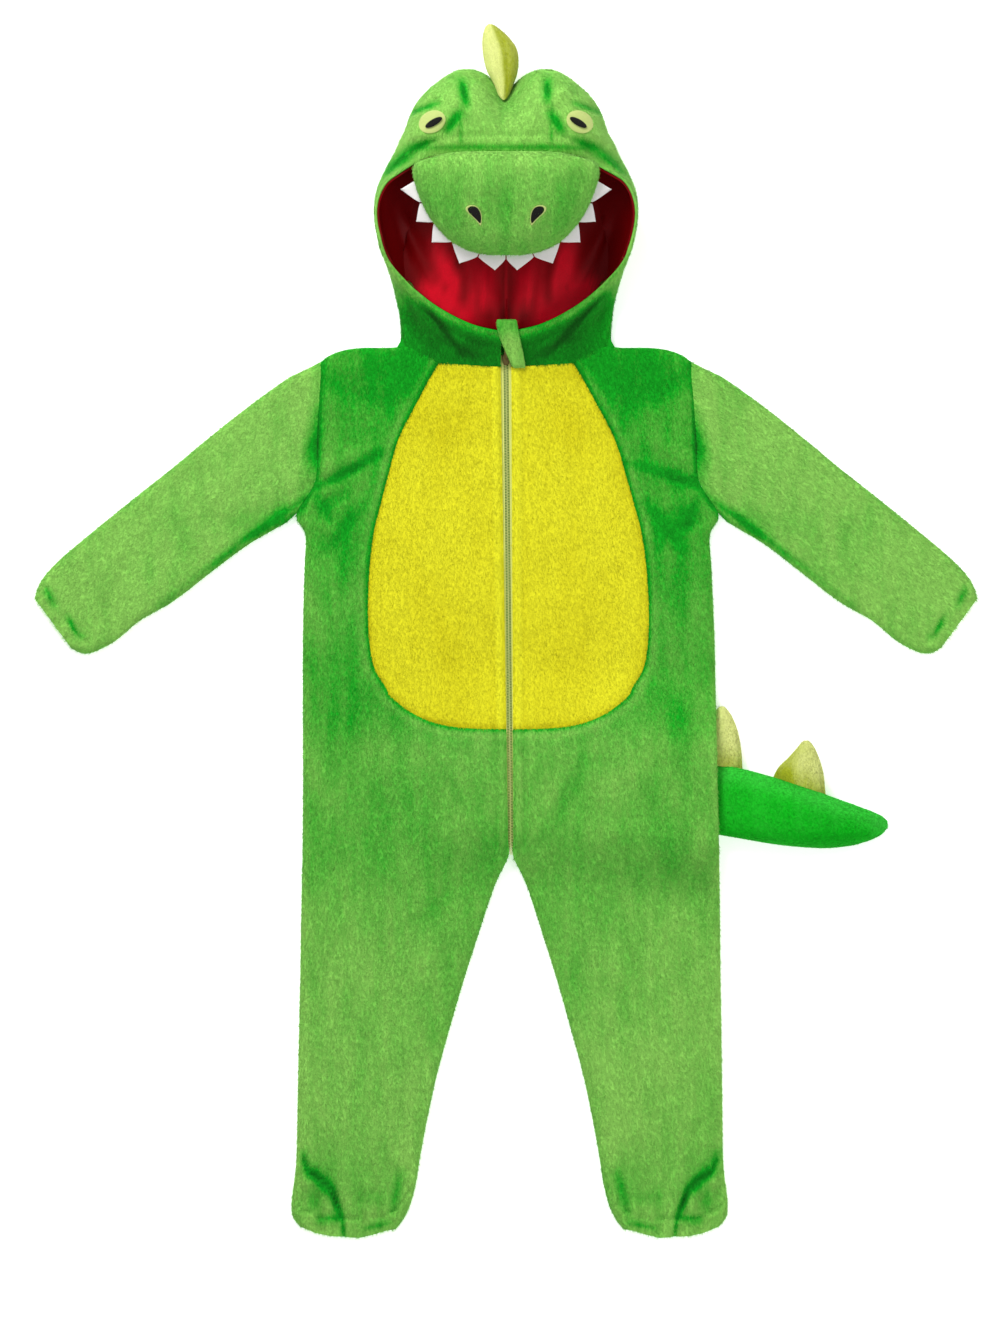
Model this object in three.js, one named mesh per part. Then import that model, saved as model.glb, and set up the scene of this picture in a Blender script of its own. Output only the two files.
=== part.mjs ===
// A child's plush dragon onesie, laid flat on its back: two fronts, two backs, a set-in yellow tummy,
// two sleeves, a lined three-piece hood with a padded upper jaw, a centre-front zip, a stuffed tail
// and three stuffed spikes. Millimetres, +Z up. The hood points to +Y and the feet to -Y.
import * as THREE from 'three';

// ---- driving sizes ----------------------------------------------------------------------------
const PLUSH = 4.5; // wall of the plush: knitted backing and pile
const SEAM = 0.3; // gap between two pieces that are sewn together
const LOFT = 12; // height of the empty body on the floor: two walls and a little air
const MID = LOFT / 2; // height of the side seams
const ROLL = 14; // width, in plan, of a rounded edge
const SATIN = 1.5; // wall of the hood's lining
const FELT = 2; // thickness of the teeth and the jaw's underside
const QUARTER = Math.PI / 2;
const ROLL_STEPS = [0, QUARTER / 3, (2 * QUARTER) / 3, QUARTER]; // stations round an edge

// Names the columns of a table, so that each row becomes an object.
const table = (names, rows) => {
  const keys = names.split(' ');
  return rows.map((row) => Object.fromEntries(keys.map((key, k) => [key, row[k]])));
};

// Body from shoulder to ankle, as distances from the centre line. zipY, midY and sideY are the heights
// of a row at the zip edge or inseam, at the tummy's edge (the middle of the leg, lower down) and at
// the side seam; inner, mid and side are the matching distances.
const BODY = table('zipY inner midY mid sideY side', [
  [251, 5.0, 254, 61.8, 257, 176],
  [214, 4.9, 219, 84.0, 215, 178.2],
  [178, 4.7, 183, 102.5, 180, 180.3],
  [142, 4.5, 146, 113.5, 142.5, 182.4],
  [112, 4.3, 116, 121.5, 111, 201.4],
  [92, 4.2, 97, 126.5, 92, 193.5],
  [60, 4.0, 65, 131.0, 62, 194.5],
  [20, 3.8, 27, 133.2, 22, 196.0],
  [-20, 3.6, -8, 132.5, -18, 197.0],
  [-58, 3.4, -36, 127.5, -54, 197.3],
  [-93, 3.2, -60, 114.5, -84, 197.6],
  [-118, 3.0, -98, 110.0, -114, 197.8],
  [-145, 2.9, -133, 107.0, -144, 198.0],
  [-172, 2.7, -166, 105.0, -174, 198.5],
  [-196, 2.6, -194, 104.0, -204, 199.0],
  [-215, 2.5, -222, 105.0, -232, 199.5],
  [-241, 13.8, -250, 108.0, -258, 200.0],
  [-289, 29.5, -290, 115.0, -292, 200.5],
  [-330, 42.5, -331, 121.0, -332, 201.0],
  [-375, 55.5, -375, 128.0, -375, 201.8],
  [-421, 68.0, -421, 135.0, -421, 202.6],
  [-460, 76.5, -460, 140.0, -460, 203.2],
  [-498, 83.6, -498, 144.0, -498, 203.8],
  [-522, 87.3, -523, 147.0, -522, 205.8],
  [-543, 92.5, -545, 150.0, -543, 208.5],
  [-557, 99.0, -561, 152.0, -557, 207.0],
  [-566, 107.0, -574.5, 153.0, -566, 200.0],
]);
const TUMMY_LAST = 10; // the row of BODY that the tummy's lower edge follows
const CROTCH_Y = -215;
const ARMPIT = { kinkY: 142.5, notchY: 111 }; // where the armhole seam turns out to the armpit
const MID_COLUMN = 6; // the column of a panel's grid that follows BODY's mid
const ZIP_STATIONS = [1 / 3, 2 / 3, 1]; // columns between the zip's edge and mid
const SIDE_STATIONS = [0.19, 0.3736, 0.62, 0.859]; // columns between mid and the side's rounded edge
const LOWER_ROW_CURVE = 3.6; // how late a row of the tummy turns up towards its corner

// Upper edge of the fronts and backs: neckline, then shoulder. The same three neck points end the hood.
const TOP_EDGE = { front: 251, corner: 254, neck: 270.3, shoulder: 269.8, arm: 257, back: 264.5 };
const NECK_HALF = 99.8;
const SHOULDER_STATION = 148;
const TOP_CORNER = 61.8;
const ARM_STATION = 176;

// Soft folds of the fronts and sleeves, for one side: a ridge (up) or a trough (down) along a line.
const FOLDS = table('fromX fromY toX toY width height', [
  [186, 148, 122, 178, 15, 2.6],
  [170, 236, 108, 214, 16, -1.2],
  [182, 106, 150, 128, 14, -1.4],
  [170, 60, 168, -60, 20, 1.4],
  [150, -110, 96, -150, 18, 1.6],
  [60, -130, 30, -205, 17, 1.8],
  [40, -262, 96, -330, 18, 1.7],
  [150, -260, 158, -420, 22, 1.5],
  [118, -360, 128, -470, 20, 1.4],
  [180, -480, 172, -560, 13, -1.2],
  [156, -505, 156, -575, 12, 3.2],
  [122, -520, 118, -570, 11, -1.3],
  [200, -520, 190, -565, 12, 2.4],
  [104, -535, 112, -565, 10, 2.2],
  [232, 170, 300, 108, 18, 1.6],
  [220, 122, 262, 100, 15, -1.2],
  [350, 92, 408, 38, 18, 1.5],
  [300, 64, 352, 34, 16, 1.3],
]);

// One sleeve, from the armhole to the cuff: the ends of each cross-section, at the upper and lower edge.
const SLEEVE = table('topX topY lowX lowY', [
  [176, 257, 201.4, 111],
  [199, 246.5, 217, 98],
  [238, 219.5, 246, 80.5],
  [279, 187.5, 279, 55.5],
  [317, 156, 316, 27],
  [355, 126, 347, 9],
  [391, 97, 370, -10],
  [421, 72, 388, -20],
  [439, 53.5, 399, -22.6],
  [446.5, 40, 407, -20.6],
  [448.6, 32, 412.5, -17],
]);
const SLEEVE_STATIONS = [0.22, 0.38, 0.54, 0.7]; // across a sleeve, between its rounded edges
const KINK_STATION = 0.7; // the station that meets the armhole seam's turn
const LEANING_SECTIONS = 3; // sections over which the sleeve gives up the body's lean

// Half of the hood, from the centre front under the chin to the centre back. Each section runs from the
// rim of the face opening over the belt (the outline from above) and the foot (where it meets the floor)
// to the neck seam; swell rounds the cloth between rim and belt.
const HOOD = table('rimX rimY rimZ swell beltX beltY beltZ footX footY footZ neckX under', [
  [1.0, 283.0, 25, 0, 4.2, 275, 21.5, 5.0, 263, 16.6, 5.0, 0],
  [34.0, 291.0, 27, 0, 34.0, 281, 23, 34.0, 267, 17, 34.0, 0],
  [67.5, 309.0, 32, 1, 67.0, 296, 26, 65.0, 276, 17, 61.8, 0],
  [97.0, 333.5, 42, 1, 93.0, 314, 31, 86.0, 290, 17, 82.0, 0],
  [118.8, 362.0, 56, 2, 111.0, 340, 36, 102.0, 305, 18, 94.0, 0],
  [126.4, 395.0, 66, 2, 123.0, 378, 40, 105.5, 325, 13, 99.8, 0],
  [120.0, 421.0, 72, 2, 125.0, 410, 44, 101.0, 356, 0, 94.0, 1],
  [102.6, 438.0, 78, 4, 116.5, 436, 46, 93.0, 396, 0, 80.0, 1],
  [78.0, 448.5, 84, 9, 99.0, 468, 46, 82.0, 432, 0, 62.0, 1],
  [62.0, 452.0, 88, 13, 85.0, 500, 45, 71.0, 460, 0, 50.0, 1],
  [51.0, 453.5, 90, 16, 65.0, 522, 44, 56.0, 480, 0, 41.0, 1],
  [42.0, 454.3, 91, 17, 44.0, 533.5, 43, 40.0, 490, 0, 32.0, 1],
  [21.0, 455.0, 92, 17, 22.0, 530.5, 43, 20.0, 493, 0, 16.0, 1],
  [0.0, 455.2, 92, 16, 0.0, 513, 43, 0.0, 486, 0, 0.0, 1],
]);
const HOOD_STEPS = 12; // samples along a section
const GUSSET_SECTION = 11; // the section that the centre piece's seam follows
const LINING_LAST = HOOD_STEPS - 2; // the last of those samples that the lining shares
const BROWS = table('x y reach rise', [
  [70, 484, 22, 5.5],
  [34, 506, 17, 3.5],
]);

// The padded upper jaw, from its root at the brow to its tip.
const JAW = table('y half bow low crown', [
  [454.2, 74, 5.8, 88.6, 12],
  [449, 84, 3.6, 88.4, 20],
  [439, 88.4, 2.0, 87.5, 25],
  [424, 86, 0.8, 85.5, 27],
  [408, 80.6, 0, 83, 27.5],
  [393, 73, 0, 80.5, 27],
  [379, 62, 0, 78.2, 25],
  [368, 50, 0, 76.4, 21],
  [360, 33, 0, 75, 15],
  [356.4, 15, 0, 74.5, 9],
]);
const JAW_EDGE = 5; // thickness of the jaw's rounded rim
const JAW_COLUMNS = 12;
const FURROW = { depth: 3.5, half: 11, fromY: 450, toY: 372 }; // the dip down the middle of the jaw
const PALATE_SHARE = 0.84; // size of the red underside beside the jaw
const JAW_CENTRE_Y = 412;

// Felt teeth of one side: the tip, and the two ends of its base on the jaw's rim.
const TEETH = table('tipX tipY highX highY lowX lowY', [
  [99.8, 418.5, 81.0, 429.0, 82.0, 406.4],
  [85.0, 388.1, 81.6, 405.0, 69.4, 387.6],
  [70.3, 368.6, 68.4, 386.2, 51.8, 368.8],
  [44.2, 348.6, 50.8, 367.8, 27.2, 354.9],
  [10.6, 342.2, 26.2, 354.5, 0.6, 352.6],
]);
const TOOTH_ROOT = 6; // how far a tooth reaches under the jaw
const TOOTH_DROOP = 5;

// The stuffed tail lies on its side under the body's left-hand edge and out past it.
const TAIL = table('x high low thick', [
  [2, -119, -178, 11],
  [60, -120, -180, 11],
  [120, -122, -184, 12.5],
  [170, -124.5, -189, 16],
  [198, -126.5, -193, 21.5],
  [225, -131, -197.5, 35],
  [255, -139, -202.5, 46],
  [281, -147, -205.2, 48],
  [306, -156, -206.2, 44],
  [330, -164.5, -203.5, 37],
  [346, -170.5, -198.8, 29],
  [357, -175.4, -193.4, 19],
  [362.6, -180.4, -187, 9],
]);
const TAIL_COLUMNS = 10;
const LIFTED = table('x height', [
  [0, 11.3],
  [60, 11.3],
  [120, 15.2],
  [170, 20],
  [205, 25.5],
]);
const LIFT = { margin: 5, upper: 88, lower: 62, far: 110 }; // ramps of the body over the tail

// Stuffed spikes: rings from the base to the tip, as centre and half sizes across the spike.
const HEAD_SPIKE = table('y x halfX z halfZ', [
  [505, -1.5, 8.5, 46, 21],
  [532, -2.5, 11.5, 46, 20.5],
  [543, -4, 16.5, 46, 20],
  [554, -6.5, 16, 46.5, 17],
  [565, -10.5, 11.5, 47, 12],
  [573, -14, 5.5, 47.5, 6],
  [575.7, -15, 1.5, 47.5, 1.5],
]);
const TAIL_SPIKES = [
  table('y x halfX z halfZ', [
    [-128, 201.5, 22.5, 9.5, 7.5],
    [-112, 203.5, 19.5, 9.5, 7.5],
    [-96, 205, 15, 9, 6.5],
    [-82, 205.5, 9.5, 8.5, 5],
    [-74, 205.2, 4.5, 8, 3.5],
    [-71.6, 205, 1.5, 8, 1.5],
  ]),
  table('y x halfX z halfZ', [
    [-146, 278.5, 24.5, 19, 11],
    [-132, 281, 21, 18.5, 11],
    [-120, 283.2, 16.5, 18, 9.5],
    [-111, 284.5, 11.5, 17.5, 7.5],
    [-105.5, 284.2, 6.5, 17, 5],
    [-103.6, 284, 2, 17, 2],
  ]),
];
const SPIKE_SIDES = 12;
const SPIKE_GAPS = { head: 1.8, tail: [1.9, 0.9] }; // over faceted seats
const SPIKE_SIGHT = 700; // a height in plan beyond every spike's seat
const BASE_SHARES = [0.4, 0.75, 1]; // rings of a spike's base

const ZIP = { tapeInner: 2.6, tapeOuter: 12, tapeLow: 6.1, tapeHigh: 7.0, chainHalf: 2.2 };
const CHAIN = { low: 6.3, high: 8.7, topY: 262, bottomY: -212 };
const SLIDER = { half: 3.4, fromY: 252.2, toY: 263.6, low: 9.0, high: 12.6 };
const PULL = { half: 1.8, length: 13, thick: 1.2, fromY: 258, z: 12.9, slope: 0.43 };
const TAB = table('x y half z', [
  [0.5, 296, 9.6, 27.4],
  [1.2, 289, 10, 26.8],
  [3.4, 279, 9.6, 24.4],
  [8.2, 264, 8.2, 18.0],
  [12.6, 250, 6.2, 12.8],
]);
const TAB_THICK = 4;
const EYE = { x: 70, y: 482.4, halfX: 13.2, halfY: 10.4, thick: 1.6, turn: -0.12 };
const PUPIL = { x: 69, y: 482.6, halfX: 11, halfY: 2.6, thick: 1.0, turn: -0.62 };
const NOSTRIL = { x: 28, y: 394.6, halfX: 8.2, halfY: 3.4, thick: 1.0, turn: -0.95 };
const PATCH_GAP = 0.8; // a patch over its surface, which is faceted
const EYE_GAP = 1.4;

// ---- materials --------------------------------------------------------------------------------
const finish = (color, roughness, metalness = 0) =>
  new THREE.MeshStandardMaterial({ color, roughness, metalness, flatShading: false });
const GREEN = finish(0x58b23c, 0.95);
const YELLOW = finish(0xdbd821, 0.95);
const RED = finish(0xa00412, 0.45);
const WHITE = finish(0xecebe6, 0.9);
const PALE = finish(0xd8de88, 0.9);
const CREAM = finish(0xc3cb7c, 0.9);
const BLACK = finish(0x15160f, 0.85);
const TAPE = finish(0xb7b762, 0.8);
const TEETH_OF_ZIP = finish(0xc6c284, 0.5);
const BRASS = finish(0x6b5a2c, 0.4, 0.8);

// ---- small helpers ----------------------------------------------------------------------------
const lerp = THREE.MathUtils.lerp;
const clamp = THREE.MathUtils.clamp;
const smooth = (t) => clamp(t, 0, 1) ** 2 * (3 - 2 * clamp(t, 0, 1));
const point = (x, y, z) => new THREE.Vector3(x, y, z);

// Height of a rounded edge, from 0 on the edge to 1 at its inner end, at a distance from the edge.
const rounded = (distance, width) => Math.sqrt(1 - (1 - clamp(distance / width, 0, 1)) ** 2);

// Reads a table at x by straight lines between its rows.
function read(rows, x, key) {
  const next = clamp(rows.findIndex((row) => row.x >= x), 1, rows.length - 1);
  const [low, high] = [rows[next - 1], rows[next]];
  if (x >= rows[rows.length - 1].x) return rows[rows.length - 1][key];
  return lerp(low[key], high[key], clamp((x - low.x) / (high.x - low.x), 0, 1));
}

// The garment leans a little: its centre line drifts to +X from the chest to the crotch.
const axis = (y) => 4.6 * clamp((250 - y) / 460, 0, 1) - 1.3 * clamp((CROTCH_Y - y) / 360, 0, 1);

// How far the body is raised where it lies over the tail.
function lift(x, y) {
  const high = read(TAIL, Math.max(x, 0), 'high') + LIFT.margin;
  const low = read(TAIL, Math.max(x, 0), 'low') - LIFT.margin;
  const along = smooth(1 - Math.max(-15 - x, 0) / LIFT.far);
  const across = smooth(1 - Math.max(y - high, 0) / LIFT.upper) * smooth(1 - Math.max(low - y, 0) / LIFT.lower);
  return read(LIFTED, Math.max(x, 0), 'height') * along * across;
}

// Sum of the soft folds at a distance x from the centre line: each is a bell across its line, with
// tapering ends.
function relief(x, y) {
  let height = 0;
  for (const fold of FOLDS) {
    const along = new THREE.Vector2(fold.toX - fold.fromX, fold.toY - fold.fromY);
    const to = new THREE.Vector2(x - fold.fromX, y - fold.fromY);
    const t = clamp(to.dot(along) / along.lengthSq(), 0, 1);
    const distance = to.distanceTo(along.multiplyScalar(t));
    height += fold.height * Math.exp(-((distance / fold.width) ** 2)) * Math.sin(Math.PI * lerp(0.16, 0.84, t));
  }
  return height;
}

// ---- closed solids from grids -----------------------------------------------------------------
// Joins two grids of points, outer and inner, into one closed wall over the cells that keep() admits.
// ring closes the grid's second direction on itself.
function wall(outer, inner, { keep = () => true, ring = false } = {}) {
  const rows = outer.length;
  const columns = outer[0].length;
  const cells = ring ? columns : columns - 1;
  const inside = (i, j) => i >= 0 && i < rows - 1 && (ring || (j >= 0 && j < cells)) && keep(i, j);
  const at = (i, j) => i * columns + (j % columns);
  const shift = rows * columns;
  const faces = [];
  const side = (a, b) => faces.push(b, a, a + shift, b, a + shift, b + shift);
  for (let i = 0; i < rows - 1; i += 1) {
    for (let j = 0; j < cells; j += 1) {
      if (!inside(i, j)) continue;
      const [a, b, c, d] = [at(i, j), at(i, j + 1), at(i + 1, j + 1), at(i + 1, j)];
      faces.push(a, b, c, a, c, d);
      faces.push(a + shift, c + shift, b + shift, a + shift, d + shift, c + shift);
      if (!inside(i - 1, j)) side(a, b);
      if (!inside(i + 1, j)) side(c, d);
      if (!inside(i, ring ? (j - 1 + cells) % cells : j - 1)) side(d, a);
      if (!inside(i, ring ? (j + 1) % cells : j + 1)) side(b, c);
    }
  }
  return closed([...outer.flat(), ...inner.flat()], faces);
}

// Makes a geometry of points and faces, drops the unused points and turns the faces outward.
function closed(points, faces) {
  const used = [...new Set(faces)];
  const renumber = new Map(used.map((old, k) => [old, k]));
  const index = faces.map((old) => renumber.get(old));
  const [a, b, c] = [new THREE.Vector3(), new THREE.Vector3(), new THREE.Vector3()];
  let volume = 0;
  for (let k = 0; k < faces.length; k += 3) {
    a.copy(points[faces[k]]);
    b.copy(points[faces[k + 1]]);
    c.copy(points[faces[k + 2]]);
    volume += a.dot(b.cross(c));
  }
  const geometry = new THREE.BufferGeometry().setFromPoints(used.map((old) => points[old]));
  geometry.setIndex(volume < 0 ? index.reverse() : index);
  geometry.computeVertexNormals();
  return geometry;
}

const group = new THREE.Group();
function add(name, geometry, material) {
  const mesh = new THREE.Mesh(geometry, material);
  mesh.name = name;
  group.add(mesh);
  return mesh;
}

// Moves the end rows or columns of a grid a little way in, which leaves the gap of a seam.
function trimColumn(grid, column, neighbour, gap) {
  for (const row of grid) {
    const step = row[neighbour].clone().sub(row[column]);
    row[column].add(step.setLength(gap));
  }
}
function trimRow(grid, row, neighbour, gap) {
  grid[row].forEach((corner, j) => {
    const step = grid[neighbour][j].clone().sub(corner);
    corner.add(step.setLength(gap));
  });
}

// ---- body -------------------------------------------------------------------------------------
// Height in plan of the fronts' or backs' upper edge at a distance x from the centre line.
function topEdge(x, front) {
  const shoulder = [
    { x: NECK_HALF, y: TOP_EDGE.neck },
    { x: SHOULDER_STATION, y: TOP_EDGE.shoulder },
    { x: ARM_STATION, y: TOP_EDGE.arm },
  ];
  const neck = front
    ? [{ x: 5, y: TOP_EDGE.front }, { x: TOP_CORNER, y: TOP_EDGE.corner }]
    : [{ x: 0, y: TOP_EDGE.back }];
  return read([...neck, ...shoulder], x, 'y');
}

// One row of a panel: its distance and height in plan at each column, and how far each edge is rounded.
function panelRow(row, inset, front) {
  const innerRound = smooth((-200 - row.zipY) / 55);
  const sideRound = smooth((ARMPIT.kinkY - 12 - row.sideY) / 34);
  const innerInset = inset * innerRound;
  const sideInset = inset * sideRound;
  const innerEdge = front || innerRound > 0 ? row.inner : SEAM / 2;
  const columns = ROLL_STEPS.map((turn) => ({
    x: innerEdge + innerInset + (ROLL - innerInset) * (1 - Math.cos(turn)),
    height: lerp(1, Math.sin(turn), innerRound),
    plan: innerEdge + ROLL * (1 - Math.cos(turn)),
    share: 0,
  }));
  for (const share of ZIP_STATIONS) {
    const x = lerp(innerEdge + ROLL, row.mid, share);
    columns.push({ x, height: 1, plan: x, share });
  }
  for (const share of SIDE_STATIONS) {
    const x = lerp(row.mid, row.side - ROLL, share);
    columns.push({ x, height: 1, plan: x, share: 1 + share });
  }
  for (const turn of [...ROLL_STEPS].reverse()) {
    columns.push({
      x: row.side - sideInset - (ROLL - sideInset) * (1 - Math.cos(turn)),
      height: lerp(1, Math.sin(turn), sideRound),
      plan: row.side - ROLL * (1 - Math.cos(turn)),
      share: 2,
    });
  }
  return columns.map((column) => {
    const { plan } = column;
    const toMid = Math.min(plan / row.mid, 1) ** LOWER_ROW_CURVE;
    const toSide = smooth((plan - row.mid) / (row.side - row.mid));
    const y = lerp(lerp(row.zipY, row.midY, toMid), row.sideY, toSide);
    return { ...column, y };
  });
}

// Plan and heights of a whole panel; inset is 0 on its outer face and the wall's thickness on its inner.
function panelGrid(sign, front, inset) {
  const reach = MID - SEAM / 2 - inset;
  const face = front ? 1 : -1;
  const grid = [];
  const place = (column, y, planY, height) => {
    const rise = front ? relief(column.plan, planY) * height : 0;
    const x = axis(planY) + sign * column.x;
    const z = MID + face * (SEAM / 2 + reach * height) + rise + lift(axis(planY) + sign * column.plan, planY);
    return point(x, y, z);
  };
  const first = panelRow(BODY[0], inset, front);
  for (const turn of ROLL_STEPS) {
    grid.push(first.map((column) => {
      const topRound = smooth((column.plan - NECK_HALF + 9) / 18);
      const topInset = inset * topRound;
      const edge = topEdge(column.plan, front);
      const y = edge - topInset - (ROLL - topInset) * (1 - Math.cos(turn));
      const planY = edge - ROLL * (1 - Math.cos(turn));
      return place(column, y, planY, column.height * lerp(1, Math.sin(turn), topRound));
    }));
  }
  BODY.slice(1).forEach((row) => {
    grid.push(panelRow(row, inset, front).map((column) => place(column, column.y, column.y, column.height)));
  });
  return grid;
}
const TUMMY_ROWS = ROLL_STEPS.length + TUMMY_LAST - 1; // grid rows down to the tummy's lower edge

for (const [side, sign] of [['left', -1], ['right', 1]]) {
  const onTummy = (i, j) => i < TUMMY_ROWS && j < MID_COLUMN;
  const outer = panelGrid(sign, true, 0);
  const inner = panelGrid(sign, true, PLUSH);
  add(`front_${side}`, wall(outer, inner, { keep: (i, j) => !onTummy(i, j) }), GREEN);

  const part = (grid) => grid.slice(0, TUMMY_ROWS + 1).map((row) => row.slice(0, MID_COLUMN + 1).map((p) => p.clone()));
  const [face, reverse] = [part(outer), part(inner)];
  for (const grid of [face, reverse]) {
    trimColumn(grid, MID_COLUMN, MID_COLUMN - 1, SEAM);
    trimRow(grid, TUMMY_ROWS, TUMMY_ROWS - 1, SEAM);
  }
  add(`belly_${side}`, wall(face, reverse), YELLOW);
  add(`back_${side}`, wall(panelGrid(sign, false, 0), panelGrid(sign, false, PLUSH)), GREEN);
}

// ---- sleeves ----------------------------------------------------------------------------------
// A flattened tube, open at the armhole and the cuff. The first section follows the armhole seam.
function sleeveGrid(sign, inset) {
  const kink = point(182.4, ARMPIT.kinkY, 0);
  return SLEEVE.map((row, k) => {
    const top = point(row.topX, row.topY, 0);
    const low = point(row.lowX, row.lowY, 0);
    const width = top.distanceTo(low);
    const across = (share) => {
      if (k > 0) return top.clone().lerp(low, share);
      if (share < KINK_STATION) return top.clone().lerp(kink, share / KINK_STATION);
      return kink.clone().lerp(low, (share - KINK_STATION) / (1 - KINK_STATION));
    };
    const ends = ROLL_STEPS.map((turn) => ({
      share: (inset + (ROLL - inset) * (1 - Math.cos(turn))) / width,
      plan: (ROLL * (1 - Math.cos(turn))) / width,
      height: Math.sin(turn),
    }));
    const upper = [
      ...ends,
      ...SLEEVE_STATIONS.map((share) => ({ share, plan: share, height: 1 })),
      ...ends.map((end) => ({ share: 1 - end.share, plan: 1 - end.plan, height: end.height })).reverse(),
    ];
    const lower = upper.slice(1, -1).reverse();
    const gap = k === 0 ? SEAM : 0;
    const lean = Math.max(1 - k / LEANING_SECTIONS, 0);
    const spot = (station, face) => {
      const here = across(station.share);
      const plan = across(station.plan);
      const rise = face > 0 ? relief(plan.x, plan.y) * station.height : 0;
      const z = MID + face * (MID - inset) * station.height + rise;
      return point(axis(here.y) * lean + sign * (here.x + gap), here.y, z);
    };
    return [...upper.map((s) => spot(s, 1)), ...lower.map((s) => spot(s, -1))];
  });
}
for (const [side, sign] of [['left', -1], ['right', 1]]) {
  add(`sleeve_${side}`, wall(sleeveGrid(sign, 0), sleeveGrid(sign, PLUSH), { ring: true }), GREEN);
}

// ---- hood -------------------------------------------------------------------------------------
// The outer surface of the hood: a row for each section, from the left of the chin round to its right.
function hoodSurface() {
  const half = HOOD.map((row) => {
    const under = row.under === 1;
    const rise = MID * rounded(NECK_HALF - row.neckX, ROLL);
    const neckY = topEdge(row.neckX, !under) + SEAM;
    const neckZ = under ? MID - rise : MID + rise;
    const curve = new THREE.CatmullRomCurve3([
      point(row.rimX, row.rimY, row.rimZ),
      point((row.rimX + row.beltX) / 2 + row.swell * 0.3, (row.rimY + row.beltY) / 2, (row.rimZ + row.beltZ) / 2 + row.swell),
      point(row.beltX, row.beltY, row.beltZ),
      point(row.footX, row.footY, row.footZ),
      point(row.neckX, neckY, neckZ),
    ]);
    return curve.getPoints(HOOD_STEPS).map((p) => {
      let rise2 = 0;
      for (const brow of BROWS) {
        const distance = Math.hypot(p.x - brow.x, p.y - brow.y);
        if (p.z > 30) rise2 += brow.rise * Math.exp(-((distance / brow.reach) ** 2));
      }
      return point(p.x, p.y, Math.max(p.z + rise2, 0));
    });
  });
  const mirrored = (row) => row.map((p) => point(-p.x, p.y, p.z));
  return [...half.map(mirrored), ...half.slice(0, -1).reverse()];
}

// Unit normals of the hood's surface, pointing out of the hood.
function hoodNormals(surface) {
  return surface.map((row, i) => row.map((p, j) => {
    const before = surface[Math.max(i - 1, 0)][j];
    const after = surface[Math.min(i + 1, surface.length - 1)][j];
    const up = row[Math.max(j - 1, 0)];
    const down = row[Math.min(j + 1, row.length - 1)];
    return after.clone().sub(before).cross(down.clone().sub(up)).normalize();
  }));
}
const hoodFace = hoodSurface();
const hoodOut = hoodNormals(hoodFace);
const outward = hoodOut[HOOD.length - 1][3].y > 0 ? 1 : -1;
const hoodLayer = (depth) =>
  hoodFace.map((row, i) => row.map((p, j) => p.clone().addScaledVector(hoodOut[i][j], -outward * depth)));

// One piece of a layer of the hood, between two sections, with half a seam's gap at each side.
function hoodPiece(from, to, near, far, cutRow) {
  const cut = (grid) => grid.slice(from, to + 1).map((row, i) => cutRow(row.map((p) => p.clone()), from + i));
  const [outer, inner] = [cut(hoodLayer(near)), cut(hoodLayer(far))];
  const end = to - from;
  for (const grid of [outer, inner]) {
    trimRow(grid, 0, 1, from === 0 ? 0.001 : SEAM / 2);
    trimRow(grid, end, end - 1, to === hoodFace.length - 1 ? 0.001 : SEAM / 2);
  }
  return wall(outer, inner);
}
const hoodEnd = hoodFace.length - 1;
const HOOD_PIECES = [
  ['side_left', 0, GUSSET_SECTION],
  ['centre', GUSSET_SECTION, hoodEnd - GUSSET_SECTION],
  ['side_right', hoodEnd - GUSSET_SECTION, hoodEnd],
];
const hoodMeshes = HOOD_PIECES.map(([name, from, to]) =>
  add(`hood_${name}`, hoodPiece(from, to, 0, PLUSH, (row) => row), GREEN));

// The lining ends short of the neck seam: a little way into the neck in front, near the seam behind.
function liningRow(row, index) {
  const section = Math.min(index, hoodEnd - index);
  const behind = Math.min(Math.max((section - 6) / 2, 0), 1);
  const ends = [lerp(0.1, 1, behind), lerp(0.2, 1.8, behind)].map((extra) => {
    const step = Math.floor(LINING_LAST + extra);
    return row[step].clone().lerp(row[step + 1], LINING_LAST + extra - step);
  });
  return [...row.slice(0, LINING_LAST + 1), ...ends];
}
for (const [name, from, to] of HOOD_PIECES) {
  const near = PLUSH + SEAM;
  add(`lining_${name}`, hoodPiece(from, to, near, near + SATIN, liningRow), RED);
}

// ---- jaw and teeth ----------------------------------------------------------------------------
const jawRow = (y) => {
  const rows = [...JAW].reverse().map((row) => ({ ...row, x: row.y }));
  return (key) => read(rows, y, key);
};
function jawGrid(share, upper) {
  return JAW.map((row) => {
    const columns = [];
    for (let k = 0; k <= JAW_COLUMNS; k += 1) {
      const s = Math.sin(QUARTER * ((2 * k) / JAW_COLUMNS - 1));
      const x = s * row.half;
      const y = row.y - row.bow * s * s;
      const dome = Math.sqrt(Math.max(1 - Math.abs(s) ** 2.6, 0));
      const inFurrow = smooth((FURROW.fromY - row.y) / 24) * smooth((row.y - FURROW.toY + 16) / 30);
      const furrow = FURROW.depth * Math.exp(-((x / FURROW.half) ** 2)) * inFurrow;
      const z = row.low + (upper ? JAW_EDGE + row.crown * dome - furrow : 0);
      columns.push(point(x * share, JAW_CENTRE_Y + (y - JAW_CENTRE_Y) * share, z));
    }
    return columns;
  });
}
const jaw = add('snout', wall(jawGrid(1, true), jawGrid(1, false)), GREEN);
const palateFace = jawGrid(PALATE_SHARE, false);
const lowered = (grid, depth) => grid.map((row) => row.map((p) => point(p.x, p.y, jawRow(p.y)('low') - depth)));
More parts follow.
